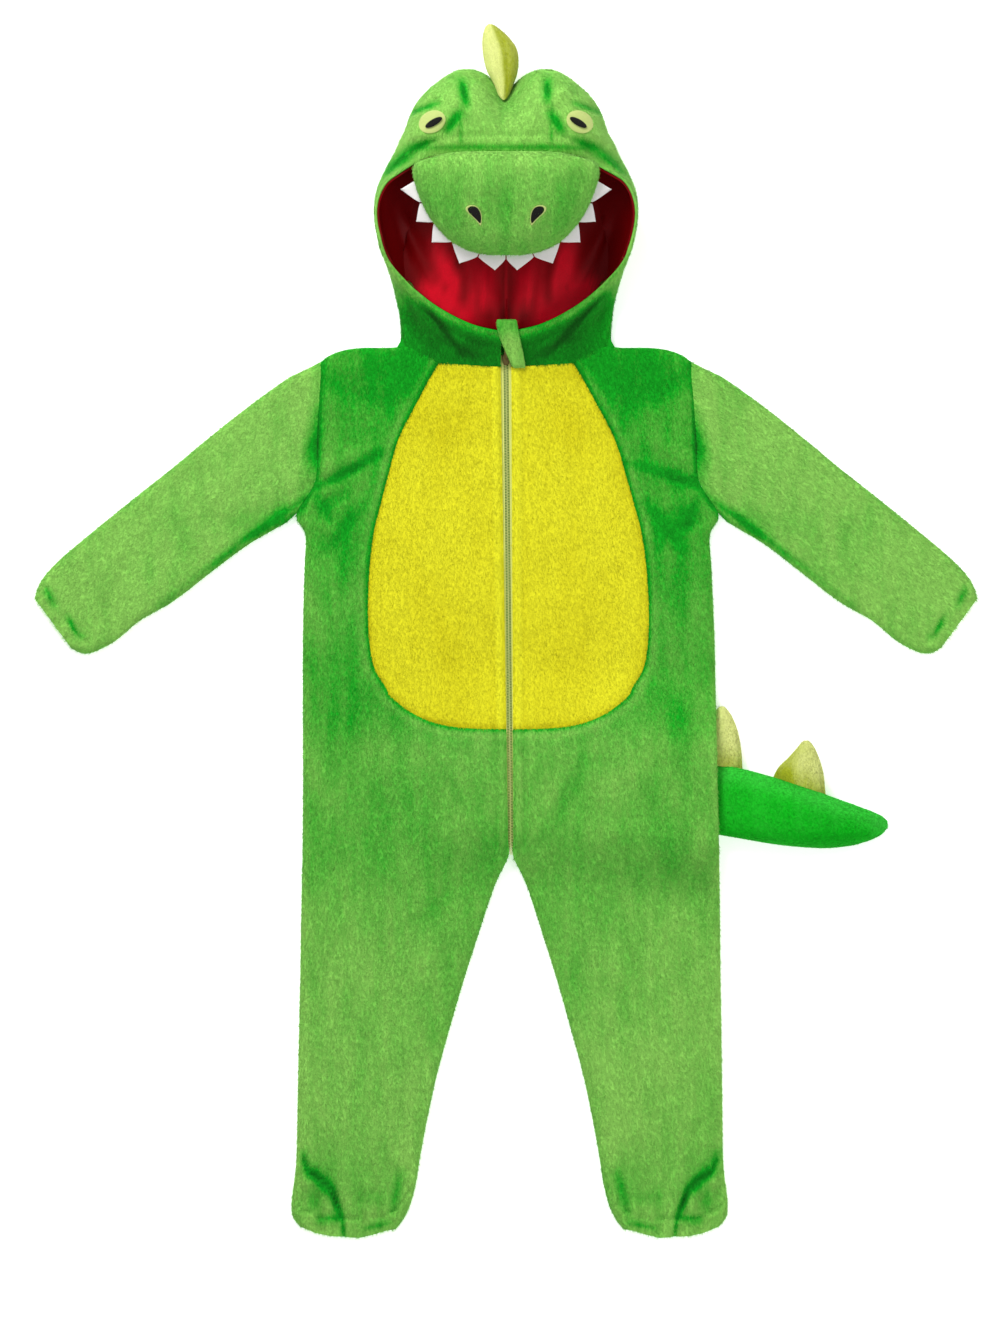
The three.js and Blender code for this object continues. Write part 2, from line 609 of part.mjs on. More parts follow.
add('palate', wall(lowered(palateFace, SEAM), lowered(palateFace, SEAM + FELT)), RED);

// A flat tooth with its root under the jaw and its tip hanging a little lower.
function tooth(row, sign) {
  const centre = new THREE.Vector2(0, JAW_CENTRE_Y);
  const corners = [
    new THREE.Vector2(row.highX, row.highY),
    new THREE.Vector2(row.tipX, row.tipY),
    new THREE.Vector2(row.lowX, row.lowY),
  ];
  const rooted = (corner) => corner.clone().add(centre.clone().sub(corner).setLength(TOOTH_ROOT));
  const outline = [rooted(corners[0]), ...corners, rooted(corners[2])];
  const level = (corner) => jawRow(clamp(corner.y, 356.5, 454))('low') - SEAM;
  const droop = [0, 0, TOOTH_DROOP, 0, 0];
  const face = (depth) => outline.map((corner, k) =>
    point(sign * corner.x, corner.y, level(outline[k === 2 ? 1 : k]) - droop[k] - depth));
  const faces = [];
  for (let k = 1; k < 4; k += 1) faces.push(0, k, k + 1, 5, 6 + k, 5 + k);
  for (let k = 0; k < 5; k += 1) {
    const next = (k + 1) % 5;
    faces.push(next, k, k + 5, next, k + 5, next + 5);
  }
  return closed([...face(0), ...face(FELT)], faces);
}
for (const [side, sign] of [['left', -1], ['right', 1]]) {
  TEETH.forEach((row, k) => add(`tooth_${side}_${k + 1}`, tooth(row, sign), WHITE));
}

// ---- felt patches -----------------------------------------------------------------------------
const ray = new THREE.Raycaster();
function heightOn(meshes, x, y) {
  ray.set(point(x, y, 300), point(0, 0, -1));
  const hit = ray.intersectObjects(meshes)[0];
  return hit.point.z;
}

// A thin oval laid on a surface, gap above it.
function patch(spot, sign, meshes, gap) {
  const sides = 10;
  const place = (radius, turn, depth) => {
    const [u, v] = [spot.halfX * radius * Math.cos(turn), spot.halfY * radius * Math.sin(turn)];
    const [c, s] = [Math.cos(spot.turn), Math.sin(spot.turn)];
    const x = sign * (spot.x + u * c - v * s);
    const y = spot.y + u * s + v * c;
    return point(x, y, heightOn(meshes, x, y) + gap + depth);
  };
  const layer = (depth) => [0.04, 0.55, 1].map((radius) => {
    const thickness = radius === 1 ? depth * 0.6 : depth;
    return Array.from({ length: sides }, (_, k) => place(radius, (k / sides) * 2 * Math.PI, thickness));
  });
  const [face, reverse] = [layer(spot.thick), layer(0)];
  const points = [...face.flat(), ...reverse.flat()];
  const faces = [];
  const low = face.flat().length;
  for (let k = 0; k < sides; k += 1) {
    const next = (k + 1) % sides;
    for (let ringAt = 0; ringAt < 2; ringAt += 1) {
      const [a, b] = [ringAt * sides + k, ringAt * sides + next];
      faces.push(a, a + sides, b + sides, a, b + sides, b);
      faces.push(a + low, b + sides + low, a + sides + low, a + low, b + low, b + sides + low);
    }
    const [edge, edgeNext] = [2 * sides + k, 2 * sides + next];
    faces.push(edge, edge + low, edgeNext + low, edge, edgeNext + low, edgeNext);
    if (k > 0 && k < sides - 1) faces.push(0, k, k + 1, low, low + k + 1, low + k);
  }
  return closed(points, faces);
}
group.updateMatrixWorld(true);
for (const [side, sign] of [['left', -1], ['right', 1]]) {
  const eye = add(`eye_${side}`, patch(EYE, sign, hoodMeshes, EYE_GAP), CREAM);
  add(`pupil_${side}`, patch(PUPIL, sign, [eye], PATCH_GAP), BLACK);
  add(`nostril_${side}`, patch(NOSTRIL, sign, [jaw], PATCH_GAP), BLACK);
}

// ---- tail and spikes --------------------------------------------------------------------------
// The tail's section is a full oval, flattened where it rests; each half is one side of its middle seam.
const tailDome = (s) => (1 - Math.abs(s) ** 2.4) ** 0.45;
function tailGrid(upper, outerFace) {
  return TAIL.map((row) => {
    const columns = [];
    for (let k = 0; k <= TAIL_COLUMNS; k += 1) {
      const s = Math.sin(QUARTER * ((2 * k) / TAIL_COLUMNS - 1));
      const y = (row.high + row.low) / 2 + (s * (row.high - row.low)) / 2;
      const middle = row.thick / 2;
      const reach = outerFace ? Math.max(middle * tailDome(s), 1) : SEAM / 2;
      const z = upper ? middle + reach : Math.max(middle - reach * (outerFace ? 1.06 : 1), 0);
      columns.push(point(row.x, y, z));
    }
    return columns;
  });
}
const tailMeshes = [
  add('tail_upper', wall(tailGrid(true, true), tailGrid(true, false)), GREEN),
  add('tail_lower', wall(tailGrid(false, true), tailGrid(false, false)), GREEN),
];

// A stuffed spike: oval rings from its base, which follows what it is sewn to, to a blunt tip.
function spike(rings, seats, gap) {
  // The seat's outline at x and z; a sight line that slips through a seam is tried again beside it.
  const seat = (x, z) => {
    const sight = (level) => {
      ray.set(point(x, SPIKE_SIGHT, level), point(0, -1, 0));
      return ray.intersectObjects(seats)[0];
    };
    return (sight(z) ?? sight(z + SEAM) ?? sight(z - SEAM)).point.y + gap;
  };
  const foot = rings[0];
  const base = BASE_SHARES.map((share) => ({ ...foot, halfX: foot.halfX * share, halfZ: foot.halfZ * share, seated: true }));
  const all = [...base, ...rings.slice(1)];
  const points = all.flatMap((row) => Array.from({ length: SPIKE_SIDES }, (_, k) => {
    const turn = (k / SPIKE_SIDES) * 2 * Math.PI;
    const x = row.x + row.halfX * Math.cos(turn);
    const z = row.z + row.halfZ * Math.sin(turn);
    return point(x, row.seated ? seat(x, z) : row.y, z);
  }));
  const last = (all.length - 1) * SPIKE_SIDES;
  points.push(point(foot.x, seat(foot.x, foot.z), foot.z));
  const centre = points.length - 1;
  const faces = [];
  for (let i = 0; i < all.length - 1; i += 1) {
    for (let k = 0; k < SPIKE_SIDES; k += 1) {
      const next = (k + 1) % SPIKE_SIDES;
      const [a, b] = [i * SPIKE_SIDES + k, i * SPIKE_SIDES + next];
      faces.push(a, b, b + SPIKE_SIDES, a, b + SPIKE_SIDES, a + SPIKE_SIDES);
    }
  }
  for (let k = 0; k < SPIKE_SIDES; k += 1) {
    faces.push(centre, (k + 1) % SPIKE_SIDES, k);
    if (k > 0 && k < SPIKE_SIDES - 1) faces.push(last, last + k, last + k + 1);
  }
  return closed(points, faces);
}
group.updateMatrixWorld(true);
add('head_spike', spike(HEAD_SPIKE, hoodMeshes, SPIKE_GAPS.head), PALE);
TAIL_SPIKES.forEach((rings, k) => add(`tail_spike_${k + 1}`, spike(rings, tailMeshes, SPIKE_GAPS.tail[k]), PALE));

// ---- zip --------------------------------------------------------------------------------------
const zipRows = [
  { y: CHAIN.topY },
  ...BODY.slice(1).filter((row) => row.zipY > CHAIN.bottomY).map((row) => ({ y: row.zipY })),
  { y: CHAIN.bottomY },
];
function strip(fromX, toX, low, high) {
  const face = (level) => zipRows.map(({ y }) => [fromX, toX].map((x) => {
    const at = axis(y) + x;
    return point(at, y, level + lift(at, y));
  }));
  return wall(face(high), face(low));
}
add('zip_tape_left', strip(-ZIP.tapeOuter, -ZIP.tapeInner, ZIP.tapeLow, ZIP.tapeHigh), TAPE);
add('zip_tape_right', strip(ZIP.tapeInner, ZIP.tapeOuter, ZIP.tapeLow, ZIP.tapeHigh), TAPE);
add('zip_chain', strip(-ZIP.chainHalf, ZIP.chainHalf, CHAIN.low, CHAIN.high), TEETH_OF_ZIP);

function slider() {
  const shape = new THREE.Shape();
  shape.moveTo(-SLIDER.half * 0.6, SLIDER.fromY);
  shape.lineTo(SLIDER.half * 0.6, SLIDER.fromY);
  shape.lineTo(SLIDER.half, SLIDER.toY - 3);
  shape.lineTo(SLIDER.half * 0.5, SLIDER.toY);
  shape.lineTo(-SLIDER.half * 0.5, SLIDER.toY);
  shape.lineTo(-SLIDER.half, SLIDER.toY - 3);
  const body = new THREE.ExtrudeGeometry(shape, { depth: SLIDER.high - SLIDER.low, bevelEnabled: false });
  return body.translate(0, 0, SLIDER.low);
}
add('zip_slider', slider(), BRASS);

const pullShape = new THREE.Shape();
pullShape.moveTo(-PULL.half * 0.7, 0);
pullShape.lineTo(PULL.half * 0.7, 0);
pullShape.lineTo(PULL.half, PULL.length * 0.45);
pullShape.lineTo(PULL.half * 0.6, PULL.length);
pullShape.lineTo(-PULL.half * 0.6, PULL.length);
pullShape.lineTo(-PULL.half, PULL.length * 0.45);
const pull = add('zip_pull', new THREE.ExtrudeGeometry(pullShape, { depth: PULL.thick, bevelEnabled: false }), BRASS);
pull.position.set(0, PULL.fromY, PULL.z);
pull.rotation.x = PULL.slope;

// ---- chin tab ---------------------------------------------------------------------------------
const tabFace = (depth) => TAB.map((row) => [-1, -0.5, 0.5, 1].map((s) => {
  const edge = Math.abs(s) === 1 && depth > 0 ? 1.4 : 0;
  return point(row.x + s * row.half, row.y, row.z + depth - edge);
}));
add('chin_tab', wall(tabFace(TAB_THICK), tabFace(0)), GREEN);

export default group;
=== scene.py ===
"""Looks of a child's plush dragon onesie, laid flat on its back and seen from straight above.

Every sub-assembly is a class that holds its sizes in millimetres and builds its own meshes from
grids of points. The cloth follows the same measures as the solid pieces of the frame.
"""
from __future__ import annotations

import logging
import math
from dataclasses import dataclass, field
from enum import Enum
from typing import Callable, Optional, Sequence

import bpy
import numpy as np
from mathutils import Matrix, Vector


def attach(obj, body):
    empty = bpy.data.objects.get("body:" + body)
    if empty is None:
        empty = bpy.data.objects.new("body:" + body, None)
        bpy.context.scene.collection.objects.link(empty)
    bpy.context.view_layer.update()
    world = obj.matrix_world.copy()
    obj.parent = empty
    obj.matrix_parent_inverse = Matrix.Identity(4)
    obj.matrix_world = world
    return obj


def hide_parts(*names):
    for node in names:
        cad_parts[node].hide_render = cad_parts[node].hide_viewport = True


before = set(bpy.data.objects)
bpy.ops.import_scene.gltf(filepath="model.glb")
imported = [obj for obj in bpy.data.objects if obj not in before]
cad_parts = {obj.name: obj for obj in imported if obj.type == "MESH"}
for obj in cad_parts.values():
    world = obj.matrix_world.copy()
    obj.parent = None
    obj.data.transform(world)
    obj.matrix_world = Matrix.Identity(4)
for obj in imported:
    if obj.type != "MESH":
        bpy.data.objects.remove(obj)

Array = np.ndarray
LOG = logging.getLogger("onesie")
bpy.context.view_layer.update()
MM = 0.001
ROOT = "root"

# ---- measures shared by the pieces, in millimetres -----------------------------------------------
PLUSH = 4.5  # wall of the plush with its pile
PILE = 1.3  # the part of that wall that is loose pile
SEAM = 0.3  # room between two layers or halves
JOIN = 0.02  # room between the edges of two pieces sewn together
MID = 6.0  # height of the side seams above the floor
ROLL = 14.0  # width in plan of a rounded edge
SATIN = 1.5
FELT = 2.0
CROTCH_Y = -215.0
NECK_HALF = 99.8


class Side(Enum):
    """The two sides of the garment as seen from above."""

    LEFT = -1
    RIGHT = 1

    @property
    def label(self) -> str:
        """The side's name in piece names."""
        return self.name.lower()


class Layer(Enum):
    """Which half of the flat garment a panel belongs to."""

    FRONT = 1
    BACK = -1


# ---- numbers ----------------------------------------------------------------------------------
def smooth(t: Array | float) -> Array:
    """Eased step: 3t^2 - 2t^3 with t held between 0 and 1."""
    t = np.clip(t, 0.0, 1.0)
    return t * t * (3.0 - 2.0 * t)


def lerp(a: Array | float, b: Array | float, t: Array | float) -> Array:
    """Straight blend: a + (b - a) t."""
    return a + (b - a) * t


def bell(distance: Array, width: Array | float) -> Array:
    """Bell curve: exp(-(distance / width)^2)."""
    return np.exp(-((distance / width) ** 2))


def rounded(distance: Array | float, width: float) -> Array:
    """Quarter-circle rise from 0 on an edge to 1 at a distance of width from it."""
    return np.sqrt(1.0 - (1.0 - np.clip(np.asarray(distance) / width, 0.0, 1.0)) ** 2)


def unit(vectors: Array) -> Array:
    """Vectors of length one."""
    length = np.linalg.norm(vectors, axis=-1, keepdims=True)
    return vectors / np.maximum(length, 1e-9)


def spline(values: Array, t: Array) -> Array:
    """Catmull-Rom curve through rows of values at fractional row numbers.

    Args:
        values: array whose first axis is the row.
        t: row numbers, from 0 to the last row.

    Returns:
        0.5 (2b + (c - a) f + (2a - 5b + 4c - d) f^2 + (3b - a - 3c + d) f^3) for the rows a, b, c, d
        around each t, with f its fraction; beyond the ends the rows go on in a straight line.
    """
    last = len(values) - 1
    padded = np.concatenate([[2 * values[0] - values[1]], values, [2 * values[-1] - values[-2]]])
    i = np.clip(np.floor(t).astype(int), 0, last - 1)
    f = (t - i).reshape((-1,) + (1,) * (values.ndim - 1))
    a, b, c, d = padded[i], padded[i + 1], padded[i + 2], padded[i + 3]
    return 0.5 * (2 * b + (c - a) * f + (2 * a - 5 * b + 4 * c - d) * f**2 + (3 * b - a - 3 * c + d) * f**3)


def even_steps(heights: Array, step: float, keep: Sequence[int] = ()) -> Array:
    """Fractional row numbers that are about evenly spaced along a column of heights.

    Args:
        heights: a height for each row.
        step: the wanted spacing.
        keep: row numbers that stay among the result.

    Returns:
        Rising row numbers from 0 to the last row.
    """
    run = np.concatenate([[0.0], np.cumsum(np.abs(np.diff(heights)))])
    marks = [0, *keep, len(heights) - 1]
    parts = []
    for low, high in zip(marks[:-1], marks[1:]):
        count = max(int(round((run[high] - run[low]) / step)), 1)
        parts.append(np.interp(np.linspace(run[low], run[high], count + 1)[:-1], run, np.arange(len(run))))
    return np.concatenate([*parts, [float(len(heights) - 1)]])


def path_distance(x: Array, y: Array, path: Array) -> Array:
    """Distance in plan from points to a path of straight stretches, as the least over its stretches."""
    best = np.full(x.shape, 1e9)
    for (ax, ay), (bx, by) in zip(path[:-1], path[1:]):
        dx, dy = bx - ax, by - ay
        t = np.clip(((x - ax) * dx + (y - ay) * dy) / max(dx * dx + dy * dy, 1e-9), 0.0, 1.0)
        best = np.minimum(best, np.hypot(x - ax - t * dx, y - ay - t * dy))
    return best


def wobble(x: Array, y: Array, scale: float, seed: float) -> Array:
    """A smooth uneven field between about -1 and 1: three crossed sine waves of unlike lengths."""
    a = np.sin(x / scale * 1.7 + 2.1 * np.sin(y / scale * 0.9 + seed) + seed * 3.1)
    b = np.sin(y / scale * 1.3 + 1.7 * np.sin(x / scale * 1.1 - seed) + seed * 1.3)
    c = np.sin((x + y) / scale * 0.8 + seed * 2.2)
    return (a + b + 0.6 * c) / 2.6


@dataclass(frozen=True)
class Table:
    """A short table with named columns."""

    names: str
    rows: tuple[tuple[float, ...], ...]

    def array(self) -> Array:
        """The whole table as an array of rows."""
        return np.array(self.rows, float)

    def col(self, name: str) -> Array:
        """One column as an array."""
        return self.array()[:, self.names.split().index(name)]

    def read(self, key: str, at: Array | float, name: str) -> Array:
        """The column called name, read by straight lines where the rising column called key is at."""
        return np.interp(at, self.col(key), self.col(name))

    def each(self) -> list[dict[str, float]]:
        """Every row as a dictionary of its named values."""
        keys = self.names.split()
        return [dict(zip(keys, row)) for row in self.rows]


# ---- tables of the garment --------------------------------------------------------------------
BODY = Table("zip_y inner mid_y mid side_y side", (
    (251, 5.0, 254, 61.8, 257, 176), (214, 4.9, 219, 84.0, 215, 178.2), (178, 4.7, 183, 102.5, 180, 180.3),
    (142, 4.5, 146, 113.5, 142.5, 182.4), (112, 4.3, 116, 121.5, 111, 201.4),
    (92, 4.2, 97, 126.5, 92, 193.5), (60, 4.0, 65, 131.0, 62, 194.5), (20, 3.8, 27, 133.2, 22, 196.0),
    (-20, 3.6, -8, 132.5, -18, 197.0), (-58, 3.4, -36, 127.5, -54, 197.3),
    (-93, 3.2, -60, 114.5, -84, 197.6), (-118, 3.0, -98, 110.0, -114, 197.8),
    (-145, 2.9, -133, 107.0, -144, 198.0), (-172, 2.7, -166, 105.0, -174, 198.5),
    (-196, 2.6, -194, 104.0, -204, 199.0), (-215, 2.5, -222, 105.0, -232, 199.5),
    (-241, 13.8, -250, 108.0, -258, 200.0), (-289, 29.5, -290, 115.0, -292, 200.5),
    (-330, 42.5, -331, 121.0, -332, 201.0), (-375, 55.5, -375, 128.0, -375, 201.8),
    (-421, 68.0, -421, 135.0, -421, 202.6), (-460, 76.5, -460, 140.0, -460, 203.2),
    (-498, 83.6, -498, 144.0, -498, 203.8), (-522, 87.3, -523, 147.0, -522, 205.8),
    (-543, 92.5, -545, 150.0, -543, 208.5), (-557, 99.0, -561, 152.0, -557, 207.0),
    (-566, 107.0, -574.5, 153.0, -566, 200.0)))
HEM_DROP = Table("x drop", (
    (107, 0), (118, 0.5), (128, 2.5), (143, 4), (156, 0.5), (170, 2.8), (184, 3.6), (194, 1.8), (200, 0)))
TUMMY_LAST = 10

KINK_Y = 142.5
LOWER_ROW_CURVE = 3.6
SHOULDER = ((99.8, 270.3), (138, 270.5), (150, 269.3), (160, 266.6), (169, 262.4), (176, 257))
FRONT_TOP = Table("x y", ((5, 251), (61.8, 254), *SHOULDER))
BACK_TOP = Table("x y", ((0, 264.5), *SHOULDER))
SLEEVE = Table("top_x top_y low_x low_y", (
    (176, 257, 201.4, 111), (199, 246.5, 217, 98), (238, 219.5, 246, 80.5), (279, 187.5, 279, 55.5),
    (317, 156, 316, 27), (355, 126, 347, 9), (391, 97, 370, -10), (421, 72, 388, -20),
    (439, 53.5, 399, -22.6), (446.5, 40, 407, -20.6), (448.6, 32, 412.5, -17)))
TAIL = Table("x high low thick", (
    (2, -119, -178, 11), (60, -120, -180, 11), (120, -122, -184, 12.5), (170, -124.5, -189, 16),
    (198, -126.5, -193, 21.5), (225, -131, -197.5, 35), (255, -139, -202.5, 46), (281, -147, -205.2, 48),
    (306, -156, -206.2, 44), (330, -164.5, -203.5, 37), (346, -170.5, -198.8, 29),
    (357, -175.4, -193.4, 19), (362.6, -180.4, -187, 9)))
LIFTED = Table("x height", ((0, 11.3), (60, 11.3), (120, 15.2), (170, 20), (205, 25.5)))
LIFT_MARGIN, LIFT_UPPER, LIFT_LOWER, LIFT_FAR = 5.0, 88.0, 62.0, 110.0

# Soft folds, by side (-1 left, 1 right, 0 both): a ridge or trough along a line, in distances from
# the centre line.
FOLDS = Table("side from_x from_y to_x to_y width height", (
    (-1, 186, 150, 124, 178, 9, 2.6), (-1, 182, 140, 138, 156, 5, -1.9), (-1, 176, 118, 148, 134, 6, -1.8),
    (-1, 184, 100, 150, 92, 7, 1.4), (1, 188, 152, 132, 186, 8, 2.4), (1, 184, 138, 142, 148, 5, -2.0),
    (1, 186, 108, 160, 96, 6, -1.9), (1, 178, 126, 150, 122, 7, 1.6), (0, 172, 240, 112, 212, 11, -1.1),
    (-1, 166, 228, 158, 190, 7, 1.0), (1, 170, 232, 160, 184, 7, 1.2), (0, 168, 60, 166, -60, 17, 1.3),
    (0, 150, -110, 96, -150, 14, 1.3), (-1, 64, -118, 20, -206, 9, 1.8), (1, 58, -124, 16, -200, 9, 1.9),
    (-1, 44, -150, 8, -212, 6, -1.2), (1, 36, -160, 6, -208, 6, -1.3), (0, 40, -262, 96, -330, 12, 1.7),
    (-1, 56, -250, 120, -296, 8, -1.0), (1, 70, -300, 120, -380, 9, -1.0),
    (0, 150, -260, 158, -420, 18, 1.4), (0, 118, -360, 128, -470, 16, 1.3),
    (-1, 96, -380, 116, -470, 7, 1.0), (1, 88, -400, 108, -480, 8, 1.1),
    (0, 180, -470, 172, -540, 10, -1.4), (0, 190, -420, 186, -500, 10, 1.0),
    (-1, 232, 172, 300, 110, 11, 1.7), (-1, 218, 124, 262, 100, 9, -1.4), (-1, 350, 92, 408, 38, 12, 1.4),
    (-1, 300, 64, 352, 34, 10, 1.3), (-1, 210, 170, 232, 120, 7, 1.3), (-1, 206, 132, 224, 108, 4, -1.8),
    (1, 230, 180, 292, 124, 10, 1.6), (1, 216, 130, 252, 96, 8, -1.5), (1, 356, 84, 404, 40, 12, 1.3),
    (1, 304, 70, 346, 30, 10, 1.2), (1, 208, 176, 228, 128, 7, 1.4), (1, 208, 126, 226, 104, 4, -1.8)))

# Gathers where the elastic pulls in the ankles: short ridges and troughs towards the hem.
HEM_GATHERS = Table("side from_x from_y to_x to_y width height", (
    (0, 201, -506, 196, -560, 4.5, -2.4), (0, 193, -500, 188, -575, 5, 3.4),
    (0, 184, -512, 180, -575, 3.5, -2.6), (0, 175, -520, 172, -575, 4.5, 2.2),
    (0, 166, -534, 165, -575, 3.2, -3.4), (0, 154, -508, 155, -575, 8, 3.6),
    (0, 142, -530, 141, -575, 3.4, -2.8), (0, 134, -522, 133, -575, 5, 2.4),
    (0, 125, -535, 124, -575, 3.2, -2.6), (0, 117, -524, 118, -572, 5, 2.2),
    (0, 109, -534, 112, -566, 3, -2.2), (0, 101, -520, 108, -560, 4.5, 1.6)))

# How light the body's pile looks from the neck down to the ankles, and the soft ovals that change it.
NAP_DOWN = Table("down light", (
    (-262, -1.05), (-215, -0.95), (-150, -0.80), (-60, -0.85), (40, -0.80), (80, -0.62), (112, -0.10),
    (150, -0.12), (200, -0.38), (250, -0.05), (312, 0.26), (480, 0.34), (545, 0.10), (575, 0.20)))
# The lighter ovals 186 to 206 mm out paint sheen along the rounded side edges.
NAP_AND_EDGE_SHEEN = Table("side x y reach_x reach_y amount", (
    (0, 112, 244, 42, 22, -0.30), (0, 140, 205, 30, 22, 0.20), (-1, 186, 60, 16, 120, 0.30),
    (1, 188, 70, 15, 130, 0.30), (0, 206, -20, 11, 190, 0.75), (0, 206, -330, 9, 220, 0.50),
    (0, 168, -108, 26, 46, -0.45), (-1, 150, -40, 20, 40, -0.25), (1, 186, -90, 18, 60, 0.25),
    (0, 24, -190, 22, 46, 0.26), (-1, 76, -122, 18, 13, 0.26), (1, 86, -122, 18, 13, -0.28),
    (-1, 150, -320, 30, 90, 0.14), (1, 140, -380, 34, 90, 0.16), (0, 62, -330, 14, 90, -0.22),
    (0, 96, -460, 12, 70, 0.30), (0, 122, -548, 16, 16, 0.24), (0, 190, -545, 8, 12, -0.30),
    (-1, 118, -250, 40, 34, -0.12), (1, 150, -240, 36, 40, -0.14)))
# Ovals for the sleeves: painted light along the upper edge, painted shade under the arm and along the lower
# edge, and a few patches of the pile's own tone.
SLEEVE_NAP_AND_SHADE = Table("side x y reach_x reach_y amount", (
    (0, 205, 190, 16, 50, -0.10), (0, 236, 104, 34, 12, -0.55), (0, 296, 54, 46, 9, -0.25),
    (0, 260, 192, 60, 20, 0.20), (-1, 300, 110, 60, 24, -0.06), (1, 318, 90, 60, 24, -0.08),
    (0, 405, 24, 40, 30, 0.16)))

# Painted shade in deep creases and folds, where shade gathers: lines in distances from the centre line.
CREASE_SHADE = Table("side from_x from_y to_x to_y width dark", (
    (0, 178, 262, 182, 210, 3.2, 0.7), (0, 181, 215, 182, 150, 3.8, 1.9), (0, 182, 150, 196, 118, 3.4, 1.3),
    (-1, 180, 137, 118, 171, 4.2, 0.8), (-1, 178, 138, 152, 152, 4.0, 0.9),
    (-1, 172, 80, 137, 122, 8.5, 0.55), (-1, 178, 128, 168, 104, 5.0, 0.7),
    (1, 180, 145, 113, 160, 4.0, 0.65), (1, 178, 140, 158, 146, 4.4, 0.9),
    (1, 166, 80, 130, 122, 8.5, 0.55), (1, 180, 126, 170, 100, 5.0, 0.7), (0, 200, 116, 214, 98, 4.5, 1.1),
    (0, 197, -496, 192, -512, 5.2, 1.8), (0, 194, -510, 182, -520, 7.0, 2.0),
    (0, 184, -518, 170, -532, 6.4, 2.1), (0, 171, -530, 159, -556, 3.6, 2.2),
    (0, 159, -554, 157, -575, 2.4, 1.8), (0, 189, -530, 188, -546, 4.4, 0.8),
    (0, 180, -560, 160, -556, 4.4, 1.6), (0, 102, -514, 112, -551, 5.4, 1.0),
    (0, 137, -536, 122, -540, 7.5, 0.6), (0, 136, -566, 114, -561, 3.4, 1.5),
    (0, 438, 40, 403, -6, 1.9, 2.4), (0, 204, 118, 228, 101, 5.5, 1.8), (0, 222, 104, 254, 83, 5.5, 1.9),
    (0, 248, 86, 284, 59, 4.5, 1.5), (0, 282, 60, 330, 24, 4.0, 0.7), (0, 181, 196, 182, 152, 3.4, 2.3),
    (0, 68, -118, 22, -205, 5.0, 0.35), (1, 74, -124, 30, -200, 6.0, 0.3)))


def axis_x(y: Array) -> Array:
    """Where the garment's centre line lies at a height y: it drifts a little to +X down to the crotch."""
    return 4.6 * np.clip((250 - y) / 460, 0, 1) - 1.3 * np.clip((CROTCH_Y - y) / 360, 0, 1)


def lift(x: Array, y: Array) -> Array:
    """How far the body is raised over the tail: the tail's height, eased off all round it."""
    at = np.maximum(x, 0.0)
    high = TAIL.read("x", at, "high") + LIFT_MARGIN
    low = TAIL.read("x", at, "low") - LIFT_MARGIN
    along = smooth(1 - np.maximum(-15 - x, 0) / LIFT_FAR)
    above, below = np.maximum(y - high, 0), np.maximum(low - y, 0)
    across = smooth(1 - above / LIFT_UPPER) * smooth(1 - below / LIFT_LOWER)
    return LIFTED.read("x", at, "height") * along * across


def folds(table: Table, side: Side, x: Array, y: Array) -> Array:
    """Sum of a table's folds: each a bell across its line, with tapering ends.

    Args:
        table: columns side, from_x, from_y, to_x, to_y, width and height.
        side: the side of the garment that x and y are on.
        x: distances from the centre line.
        y: heights in plan.

    Returns:
        Height at each point.
    """
    total = np.zeros(np.broadcast(x, y).shape)
    for row in table.each():
        if row["side"] not in (0, side.value):
            continue
        uneven = 1.0 if row["side"] or side is Side.LEFT else 0.86
        dx, dy = row["to_x"] - row["from_x"], row["to_y"] - row["from_y"]
        t = np.clip(((x - row["from_x"]) * dx + (y - row["from_y"]) * dy) / (dx * dx + dy * dy), 0, 1)
        distance = np.hypot(x - row["from_x"] - t * dx, y - row["from_y"] - t * dy)
        total += uneven * row["height"] * bell(distance, row["width"]) * np.sin(np.pi * lerp(0.14, 0.86, t))
    return total


def painted_shade_and_highlight_lines(table: Table, side: Side, x: Array, y: Array) -> Array:
    """How strongly a table's lines are painted: shade along crease lines and highlights along bright fold
    lines, as bells across their lines with soft ends.
    """
    total = np.zeros(np.broadcast(x, y).shape)
    for row in table.each():
        if row["side"] not in (0, side.value):
            continue
        dx, dy = row["to_x"] - row["from_x"], row["to_y"] - row["from_y"]
        t = np.clip(((x - row["from_x"]) * dx + (y - row["from_y"]) * dy) / (dx * dx + dy * dy), 0, 1)
        distance = np.hypot(x - row["from_x"] - t * dx, y - row["from_y"] - t * dy)
        faded = np.sin(np.pi * lerp(0.25, 0.75, t))
        total = np.maximum(total, row["dark"] * bell(distance, row["width"]) * faded)
    return total


def ovals(table: Table, side: Side, x: Array, y: Array) -> Array:
    """Sum of a table's soft ovals, amount exp(-distance^2) each."""
    total = np.zeros(np.broadcast(x, y).shape)
    for row in table.each():
        if row["side"] in (0, side.value):
            far = np.hypot((x - row["x"]) / row["reach_x"], (y - row["y"]) / row["reach_y"])
            total += row["amount"] * bell(far, 1.0)
    return total


def painted_relief_light_and_shade(rise: Array) -> Array:
    """Painted light and shade from a relief: ridges painted a little lighter and troughs darker, as light
    would fall on them.
    """
    return 0.10 * np.maximum(rise, 0) + 0.20 * np.minimum(rise, 0)


